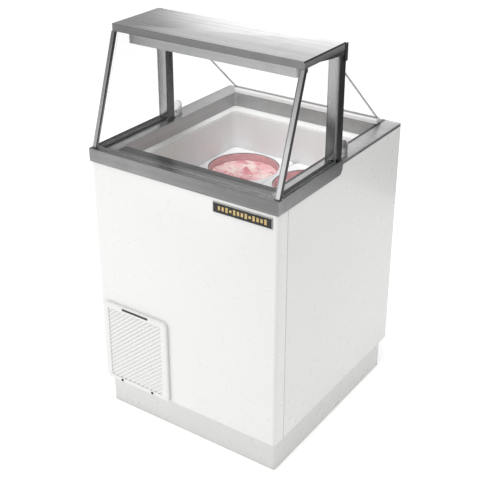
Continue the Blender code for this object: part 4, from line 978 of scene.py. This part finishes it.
def lid_hinge():
    low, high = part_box("lid_hinge_strip")
    narrow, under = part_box("post_right")[0].x - GAP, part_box("canopy_shelf")[1].z - FLANGE
    thick = 0.0025
    bm = bmesh.new()
    add_prism(bm, [
        (-narrow, low.z), (narrow, low.z), (narrow, under), (high.x, under), (high.x, high.z),
        (low.x, high.z), (low.x, under), (-narrow, under),
    ], "y", low.y, low.y + thick)
    for side, _ in SIDES:
        x0, x1 = sided(side, high.x - thick, high.x)
        add_box(bm, (x0, low.y + thick - 0.0005, PIN_Z - 0.013), (x1, PIN_Y + 0.002, high.z - 0.0035))
    for centre in (-0.230, 0.0, 0.230):
        x0, x1 = centre - KNUCKLE / 2, centre + KNUCKLE / 2
        near, far = low.y + thick - 0.001, PIN_Y - 0.0032
        add_box(bm, (x0 + 0.0002, near, PIN_Z - 0.002), (x1 - 0.0002, far, PIN_Z + 0.002))
        add_barrel(bm, x0, x1)
    make("lid_hinge_strip", bm, DARK, bevel=0.0004)

    half, radius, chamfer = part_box("lid_hinge_pin")[1].x, 0.0025, 0.0007
    bm = bmesh.new()
    add_turned(bm, [
        (0, -half), (radius - chamfer, -half), (radius, -half + chamfer), (radius, half - chamfer),
        (radius - chamfer, half), (0, half),
    ], (0, PIN_Y, PIN_Z), "x", 24)
    make("lid_hinge_pin", bm, STEEL_PIN)

    low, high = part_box("lid_hinge_leaf")
    inner, outer, root, tip, seat = PANE + GAP, PANE + GAP + 0.0015, 0.0100, 0.0300, LID_START - GAP
    bm = bmesh.new()
    add_prism(bm, [on_lid(*point) for point in (
        (root, -outer), (tip, -outer), (tip, -inner), (seat, -inner), (seat, inner), (tip, inner),
        (tip, outer), (root, outer),
    )], "x", low.x, high.x)
    near, far, half = 0.0040, 0.0110, 0.002
    tongue = [on_lid(*point) for point in ((near, -half), (far, -half), (far, half), (near, half))]
    for centre in (-0.115, 0.115):
        x0, x1 = centre - KNUCKLE / 2, centre + KNUCKLE / 2
        add_prism(bm, tongue, "x", x0 + 0.0002, x1 - 0.0002)
        add_barrel(bm, x0, x1)
    make("lid_hinge_leaf", bm, DARK, "lid", bevel=0.0003)


def lid():
    low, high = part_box("lid_panel")
    margin = 0.0045
    stops = (low.x, low.x + margin, high.x - margin, high.x)
    ends = ((LID_START, -PANE), (LID_END, -PANE), (LID_END, PANE), (LID_START, PANE))
    bm = bmesh.new()
    rows = [[bm.verts.new((x, *on_lid(*end))) for x in stops] for end in ends]
    for (i, j), looks in zip(around(4), ((2, 0, 2), (1, 1, 1)) * 2):
        for k, look in enumerate(looks):
            corners = (rows[i][k], rows[i][k + 1], rows[j][k + 1], rows[j][k])
            bm.faces.new(corners).material_index = look
    for k in (0, 3):
        bm.faces.new([row[k] for row in rows]).material_index = 1
    make("lid_panel", bm, [LID_CLEAR, LID_EDGE, LID_MARGIN], "lid", bevel=0.0005)

    low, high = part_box("lid_handle_bar")
    outline = [(low.y, low.z), (high.y - 0.001, low.z), (high.y, low.z + 0.001), (high.y, low.z + 0.008)]
    outline += [on_lid(LID_END + GAP, 0.006), on_lid(LID_END + GAP, -0.006), (low.y, low.z + 0.012)]
    bm = bmesh.new()
    add_prism(bm, outline, "x", low.x, high.x)
    make("lid_handle_bar", bm, BAR, "lid", bevel=0.0012, segments=3)


# ---- cans ---------------------------------------------------------------------------------------
def scooped_surface(x, y, reach, seed):
    """Height of the ice cream above its mean level: dished by scoops, ridged and crumbly."""
    place = Vector((x, y, seed * 3.7))
    height = 0.0045 * noise.fractal(place * 22.0, 0.9, 2.0, 4)
    height += 0.0016 * noise.fractal(place * 85.0, 0.8, 2.0, 3)
    long_half, short_half, depth, ridge = 0.052, 0.024, 0.011, 0.0035
    for k in range(5):
        turn = seed * 1.9 + k * 2.4
        gap = reach * (0.25 + 0.13 * k)
        dx, dy = x - gap * math.cos(turn), y - gap * math.sin(turn)
        cosine, sine = math.cos(turn + 1.2), math.sin(turn + 1.2)
        bowl = ((dx * cosine + dy * sine) / long_half) ** 2 + ((dy * cosine - dx * sine) / short_half) ** 2
        if bowl < 1.0:
            height -= depth * (1 - bowl) ** 0.8
        elif bowl < 1.35:
            height += ridge * math.sin(math.pi * (bowl - 1.0) / 0.35)
    return height + 0.0045 * max(0.0, (math.hypot(x, y) / reach - 0.82) / 0.18) ** 2


def cream(name, seed):
    node = "ice_cream_" + name
    low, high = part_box(node)
    centre = (low + high) / 2
    reach, level = (high.x - low.x) / 2, high.z - 0.004
    rings, steps, taper = 34, 96, 0.0035
    bm = bmesh.new()

    def surface(x, y):
        height = min(scooped_surface(x, y, reach, seed), high.z - level)
        return bm.verts.new((centre.x + x, centre.y + y, level + height))

    loops = [
        [surface(x, y) for x, y in arc((0, 0), reach * ring / rings, 0, 360, steps)[:-1]]
        for ring in range(1, rings + 1)
    ]
    foot = arc((centre.x, centre.y), reach - taper, 0, 360, steps)[:-1]
    loops.append([bm.verts.new((x, y, low.z)) for x, y in foot])
    middle = bm.verts.new((centre.x, centre.y, level + scooped_surface(0, 0, reach, seed)))
    for i, j in around(steps):
        bm.faces.new((middle, loops[0][i], loops[0][j]))
        for inner, outer in zip(loops, loops[1:]):
            bm.faces.new((inner[i], outer[i], outer[j], inner[j]))
    bm.faces.new(loops[-1])
    look = CREAM if name.startswith("rear") else VANILLA
    make(node, bm, look, "can_" + name + "_body", angle=60)


def can(name):
    node = "can_" + name
    low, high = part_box(node)
    centre = (low + high) / 2
    rim, wall, bead, floor = (high.x - low.x) / 2, 0.0014, 0.0022, low.z + 0.002
    body = rim - 0.0023
    profile = [
        (0.0, low.z), (body - 0.006, low.z), (body - 0.0045, low.z + 0.0015), (body - 0.0005, high.z - 0.007),
    ]
    profile += arc((rim - bead, high.z - bead), bead, -60, 120, 9)
    profile += [(body - wall, high.z - 0.003), (body - wall - 0.0003, high.z - 0.030)]
    profile += [(body - wall - 0.004, floor), (0.0, floor)]
    outside = 10
    materials = [0] * outside + [1] * (len(profile) - outside)
    bm = bmesh.new()
    add_turned(bm, profile, (centre.x, centre.y, 0), steps=96, materials=materials)
    inside = SMEARED if name.startswith("rear") else SMEARED_VANILLA
    make(node, bm, [CARTON, inside], "can_" + name + "_body")


def skirt(name):
    """Square plate with a turned-down rim, and a round hole with a rolled lip for the can."""
    node = "skirt_" + name
    low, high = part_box(node)
    centre = (low + high) / 2
    half, corner = (high.x - low.x) / 2, 0.023
    rim, dip, roll, under = 0.0028, 0.0011, 0.0011, high.z - 0.004
    bm = bmesh.new()

    def outline(reach, radius):
        """Rounded square with points along its sides as well as round its corners."""
        corners = rounded_rectangle(-reach, reach, -reach, reach, radius, 8)
        points = []
        for point, following in zip(corners, corners[1:] + corners[:1]):
            parts = 20 if math.dist(point, following) > reach else 1
            points += [Vector(point).lerp(Vector(following), part / parts) for part in range(parts)]
        return points

    def square(grown, z):
        points = outline(half + grown, corner + grown)
        return [bm.verts.new((centre.x + x, centre.y + y, z)) for x, y in points]

    def round_loop(radius, z):
        """A circle with a point towards each point of the square outline."""
        directions = [point.normalized() * radius for point in outline(half, corner)]
        return [bm.verts.new((centre.x + x, centre.y + y, z)) for x, y in directions]

    loops = [square(0.0, low.z), square(0.0, high.z - rim)]
    loops += [square(-rim * turned, high.z - rim * left) for turned, left in quarter(4)[1:]]
    loops += [square(-0.0050, high.z - dip), round_loop(SKIRT_HOLE_R + 0.00119, high.z - dip)]
    for turned, left in quarter(4)[1:]:
        loops.append(round_loop(SKIRT_HOLE_R + roll * left, high.z - dip - roll * turned))
    loops += [round_loop(SKIRT_HOLE_R, under), round_loop(SKIRT_HOLE_R + 0.004, under)]
    loops += [square(-rim, under), square(-rim, low.z)]
    skin(bm, loops)
    make(node, bm, SKIRT, "skirt_" + name + "_body", angle=40)


def rack():
    """Grid under the skirts, on five legs."""
    low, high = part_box("can_rack")
    middle, under = (low + high) / 2, high.z - 0.010
    edge, wide, inset, drop = 0.0070, 0.0062, 0.012, 0.0004
    bm = bmesh.new()
    for y0, y1 in ((low.y, low.y + edge), (middle.y - wide, middle.y + wide), (high.y - edge, high.y)):
        add_box(bm, (low.x + inset, y0, under), (high.x - inset, y1, high.z))
    for x0, x1 in ((low.x, low.x + edge), (middle.x - wide, middle.x + wide), (high.x - edge, high.x)):
        add_box(bm, (x0, low.y + inset, under + drop), (x1, high.y - inset, high.z - drop))
    reach_x, reach_y, slim, stout = middle.x - low.x - 0.0035, middle.y - low.y - 0.0035, 0.0033, 0.006
    for x, y in ((0, 0), (-1, 0), (1, 0), (0, -1), (0, 1)):
        half_x, half_y = slim if x else stout, slim if y else stout
        foot_x, foot_y = middle.x + x * reach_x, middle.y + y * reach_y
        leg_top = (foot_x + half_x, foot_y + half_y, under + 0.001)
        add_box(bm, (foot_x - half_x, foot_y - half_y, low.z), leg_top)
    make("can_rack", bm, GREY_PAINT, bevel=0.0008)


# ---- grille and badge ---------------------------------------------------------------------------
def clip(polygon, x0, x1, z0, z1):
    """Clip an (x, z) polygon to a rectangle."""
    for axis, limit, keep_above in ((0, x0, True), (0, x1, False), (1, z0, True), (1, z1, False)):
        result = []
        for i, point in enumerate(polygon):
            previous = polygon[i - 1]
            inside = (point[axis] >= limit) == keep_above
            before = (previous[axis] >= limit) == keep_above
            if inside != before:
                t = (limit - previous[axis]) / (point[axis] - previous[axis])
                result.append(tuple(a + t * (b - a) for a, b in zip(previous, point)))
            if inside:
                result.append(point)
        polygon = result
        if len(polygon) < 3:
            return []
    return polygon


def grille():
    """Pressed frame with slanting louvre ribs across its field."""
    low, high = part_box("grille")
    front, bend, bend_steps = low.y, 0.0045, 6
    x0, x1, z0, z1 = low.x + 0.015, high.x - 0.023, low.z + 0.016, high.z - 0.018
    top_r, foot_r, field_r, steps = 0.016, 0.006, 0.004, 8
    outer = []
    for centre, radius, start in (
        ((high.x - foot_r, low.z + foot_r), foot_r, -90), ((high.x - top_r, high.z - top_r), top_r, 0),
        ((low.x + top_r, high.z - top_r), top_r, 90), ((low.x + foot_r, low.z + foot_r), foot_r, 180),
    ):
        outer += arc(centre, radius, start, start + 90, steps)
    inner = rounded_rectangle(x0, x1, z0, z1, field_r, steps)
    middle_x, middle_z = (low.x + high.x) / 2, (low.z + high.z) / 2
    bm = bmesh.new()

    def loop(points, y, shrink=0.0):
        def moved(value, middle):
            return value - shrink * math.copysign(1, value - middle)

        return [bm.verts.new((moved(x, middle_x), y, moved(z, middle_z))) for x, z in points]

    rings = [loop(outer, high.y)]
    rings += [loop(outer, front + bend * left, bend * turned) for turned, left in quarter(bend_steps)]
    for y, shrink in ((0.0, -0.0020), (0.0006, -0.0006), (0.0022, 0.0), (0.0040, 0.0), (0.0040, -0.0035)):
        rings.append(loop(inner, front + y, shrink))
    rings.append(loop(outer, high.y, 0.0022))
    skin(bm, rings)

    along = Vector((math.cos(RIB_ANGLE), math.sin(RIB_ANGLE)))
    across = Vector((-along.y, along.x))
    middle = Vector(((x0 + x1) / 2, (z0 + z1) / 2))
    reach, half, tuck, rows = 0.4, RIB_PITCH * 0.51, 0.0004, 16
    near, far, sheet = 0.0016, 0.0042, 0.0010
    for row in range(-rows, rows + 1):
        centre = middle + across * row * RIB_PITCH
        signs = ((-1, -1), (1, -1), (1, 1), (-1, 1))
        corners = [tuple(centre + along * reach * a + across * half * b) for a, b in signs]
        shape = clip(corners, x0 - tuck, x1 + tuck, z0 - tuck, z1 + tuck)
        if not shape:
            continue
        shares = [((Vector(point) - centre).dot(across) + half) / (2 * half) for point in shape]
        skin(bm, [
            [
                bm.verts.new((x, start + (far - near) * share, z)) for (x, z), share in zip(shape, shares)
            ]
            for start in (front + near, front + near + sheet)
        ], closed=False)
    make("grille", bm, ENAMEL_GRILLE, angle=38)
    make("grille_label", block(*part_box("grille_label")), BLACK, bevel=0.0005)
    for node in ("grille_screw_1", "grille_screw_2"):
        screw(node)


def screw(node):
    """Pan head with a cross recess."""
    low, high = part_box(node)
    x, z, radius, rise = (low.x + high.x) / 2, (low.z + high.z) / 2, (high.x - low.x) / 2, high.y - low.y
    profile = [(0, 0)]
    for turn in map(math.radians, (20, 40, 60, 78)):
        profile.append((radius * math.sin(turn), rise * (1 - math.cos(turn))))
    profile += [(radius, rise - 0.0002), (radius, rise), (0, rise)]
    bm = bmesh.new()
    add_turned(bm, profile, (x, low.y, z), "y", 32)
    head = make(node, bm, DARK)
    arm, slot, front = 0.0026, 0.0006, low.y - 0.001
    for prefix, half_x, half_z, depth in (("cut_", arm, slot, 0.0012), ("cut_cross_", slot, arm, 0.0011)):
        recess = block((x - half_x, front, z - half_z), (x + half_x, low.y + depth, z + half_z))
        cut(head, guide(prefix + node, recess))


def badge():
    """Dark plate with a thin bright border and a plain pattern of gold bars, with no lettering."""
    low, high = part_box("badge_plate")
    border, margin, bars = 0.0014, 0.015, 13
    face = low.y + 0.0004
    raised = face + HAIR
    bm = bmesh.new()
    add_box(bm, (low.x, face, low.z), high)
    for x0, z0, x1, z1 in (
        (low.x, low.z, high.x, low.z + border), (low.x, high.z - border, high.x, high.z),
        (low.x, low.z, low.x + border, high.z), (high.x - border, low.z, high.x, high.z),
    ):
        add_box(bm, (x0, low.y, z0), (x1, raised, z1), 1)
    middle, pitch = (low.z + high.z) / 2, (high.x - low.x - 2 * margin) / bars
    for i in range(bars):
        x = low.x + margin + pitch * (i + 0.5)
        tall, half = 0.0035 + 0.0045 * abs(math.sin(1.9 * i + 0.6)), pitch * 0.30
        add_box(bm, (x - half, low.y + HAIR, middle - tall), (x + half, raised, middle + tall), 2)
    make("badge_plate", bm, [BLACK, BORDER, GOLD])


# ---- machine ------------------------------------------------------------------------------------
def controls():
    base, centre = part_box("thermostat_knob")[0].y, middle_of("thermostat_knob")
    flutes, flute_r, half_width = 18, 0.0151, 0.0007
    bm = bmesh.new()
    add_turned(bm, [
        (0.0050, 0.0), (0.0195, 0.0), (0.0200, 0.0005), (0.0200, 0.0030), (0.0192, 0.0036), (0.0165, 0.0045),
        (0.0150, 0.0150), (0.0138, 0.0168), (0.0125, 0.0170), (0, 0.0170), (0, 0.0106), (0.0050, 0.0106),
    ], (centre.x, base, centre.z), "y", 48)
    for i in range(flutes):
        turn = 2 * math.pi * i / flutes
        middle = (centre.x + flute_r * math.cos(turn), base + 0.0095, centre.z + flute_r * math.sin(turn))
        size = Matrix.Diagonal((0.0014, 0.0095, 0.0022, 1))
        matrix = Matrix.Translation(middle) @ Matrix.Rotation(-turn, 4, "Y") @ size
        bmesh.ops.create_cube(bm, size=1.0, matrix=matrix)
    add_box(
        bm, (centre.x - half_width, base + 0.0165, centre.z + 0.002),
        (centre.x + half_width, base + 0.01715, centre.z + 0.012), 1,
    )
    make("thermostat_knob", bm, [BLACK, BORDER], "thermostat_dial", bevel=0.0002)

    centre, start = middle_of("cord_gland"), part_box("cord_gland")[0].y
    bm = bmesh.new()
    add_turned(bm, [(radius, start + along) for radius, along in (
        (0.0045, 0.0), (0.0090, 0.0), (0.0090, 0.008), (0.0140, 0.008), (0.0140, 0.014), (0.0105, 0.0155),
        (0.0098, 0.0235), (0.0085, 0.0255), (0.0060, 0.026), (0.0045, 0.0255),
    )], (centre.x, 0, centre.z), "y", 48)
    make("cord_gland", bm, BLACK, bevel=0.0003)


def carried_over():
    """CAD nodes that stay as they are, deep inside the cabinet."""
    for material, nodes in (
        (FOAM, ("foam_insulation",)), (COPPER, ("evaporator_coil", "suction_line", "liquid_line")),
        (ALUMINIUM, ("condenser", "fan_blade")), (SHELL, ("fan_motor", "compressor")),
        (GREY_PAINT, ("thermostat",)),
    ):
        for node in nodes:
            mesh = frame["nodes"][node].data
            mesh.materials.clear()
            mesh.materials.append(material)


# ---- studio -------------------------------------------------------------------------------------
def aim(thing, place, target, axis, up="Y"):
    thing.location = place
    thing.rotation_mode = "QUATERNION"
    thing.rotation_quaternion = (Vector(target) - Vector(place)).to_track_quat(axis, up)


def flat_sheet(name, half):
    bm = bmesh.new()
    bmesh.ops.create_grid(bm, x_segments=1, y_segments=1, size=half)
    return new_object(name, bm)


def card(name, place, size, brightness):
    """A board on the floor that faces up, glows faintly, and shows only in reflections."""
    board = flat_sheet(name, 0.5)
    aim(board, (*place, 0.01), (*place, 2.0), "Z")
    board.scale = (*size, 1.0)
    material = bpy.data.materials.new(name)
    material.use_nodes = True
    tree = material.node_tree
    tree.nodes.clear()
    glow = tree.nodes.new("ShaderNodeEmission")
    glow.inputs["Color"].default_value = (1.0, 1.0, 1.0, 1.0)
    glow.inputs["Strength"].default_value = brightness
    tree.links.new(glow.outputs[0], tree.nodes.new("ShaderNodeOutputMaterial").inputs["Surface"])
    board.data.materials.append(material)
    for ray in ("camera", "diffuse", "transmission", "shadow"):
        setattr(board, "visible_" + ray, False)


def light(name, kind, place, target, power, **settings):
    data = bpy.data.lights.new(name, kind)
    data.energy = power
    for setting, value in settings.items():
        setattr(data, setting, value)
    lamp_object = bpy.data.objects.new(name, data)
    bpy.context.scene.collection.objects.link(lamp_object)
    aim(lamp_object, place, target, "-Z")
    lamp_object.visible_glossy = False


def studio():
    floor = flat_sheet("studio_floor", 30.0)
    floor.data.materials.append(studio_paper())
    floor.location.z = -0.0005

    bpy.context.scene.view_settings.view_transform = "Standard"
    studio_walls()
    light("key_light", "AREA", (-1.9, -2.3, 1.7), (-0.2, -0.3, 0.55), 25.0, shape="SQUARE", size=1.5)
    light("top_light", "AREA", (0.1, -0.6, 4.2), (0.0, 0.0, 0.6), 75.0, shape="SQUARE", size=1.6)
    light(
        "tub_light", "SPOT", (0.6, -2.0, 2.2), (0.0, 0.24, 0.80), 75.0,
        spot_size=math.radians(17.0), spot_blend=0.8, shadow_soft_size=0.15,
    )
    card("dark_card_right", (2.3, 3.3), (3.2, 3.4), 0.10)
    card("grey_card_front", (-0.7, -2.0), (0.9, 0.9), 0.5)
    card("grey_card_left", (-2.9, -2.6), (1.6, 1.4), 0.3)


def studio_paper():
    look = Look("studio_paper", (0.90, 0.90, 0.90), Emission_Strength=0.42, Emission_Color=(1.0, 1.0, 1.0))
    look.layer(look.patches(0.8), (0.895, 0.895, 0.895))
    look.set(Base_Color=look.base, Roughness=look.varied(3.0, 0.85, 0.95))
    return look.material


def studio_walls():
    """White surroundings. Metal sees them darken towards the left and overhead, as from a lit wall's end."""
    world = bpy.data.worlds.new("studio_world")
    bpy.context.scene.world = world
    world.use_nodes = True
    world.cycles.sampling_method = "NONE"
    graph = Graph(world.node_tree, "Generated")
    path = graph.add("LightPath").outputs
    x, y, z = (graph.along(axis) for axis in "XYZ")
    behind = graph.product(
        graph.spread(x, 0.35, 1.20, -0.64, -0.57), graph.spread(z, 1.0, 0.5, 0.40, 0.48),
        graph.spread(x, 1.0, 1.28, -0.57, -0.46), graph.spread(x, 1.0, 0.40, -0.25, 0.05),
    )
    before = graph.spread(x, 1.10, 0.35, -0.52, -0.62)
    side = graph.spread(y, 0.0, 1.0, -0.1, 0.1)
    opposite = graph.join(side, -1.0, "MULTIPLY_ADD")
    seen = graph.total(graph.join(behind, side), graph.join(before, opposite))
    ambient = graph.total(graph.join(path["Is Camera Ray"], 0.40), 0.60)
    mix = graph.add("Mix", {0: path["Is Glossy Ray"], 2: ambient, 3: seen}, data_type="FLOAT")
    background = graph.tree.nodes["Background"]
    background.inputs["Color"].default_value = (1.0, 1.0, 1.0, 1.0)
    graph.feed(background.inputs["Strength"], mix.outputs[0])


def camera():
    """Seen from the front right, a little above the shelf."""
    azimuth, elevation, roll = (math.radians(angle) for angle in (34.67, 25.77, -0.09))
    level = math.cos(elevation)
    back = Vector((math.sin(azimuth) * level, -math.cos(azimuth) * level, math.sin(elevation)))
    data = bpy.data.cameras.new("camera")
    data.sensor_width = 36.0
    data.lens = 73.64
    data.shift_x, data.shift_y = 0.0007, -0.071
    eye = bpy.data.objects.new("camera", data)
    bpy.context.scene.collection.objects.link(eye)
    eye.location = (1.5603, -2.3151, 2.0184)
    eye.rotation_mode = "QUATERNION"
    eye.rotation_quaternion = (-back).to_track_quat("-Z", "Y") @ Matrix.Rotation(roll, 3, "Z").to_quaternion()
    bpy.context.scene.camera = eye


for build in (
    plinth, front_panel, side_panels, rear_panel, tub, breaker, deck, rails, gaskets, posts, channels,
    glazing, canopy, lamp, lid_hinge, lid,
):
    build()
for seed, cell in enumerate(CELLS):
    cream(cell, seed + 1)
    can(cell)
    skirt(cell)
for build in (rack, grille, badge, controls, carried_over, studio, camera):
    build()
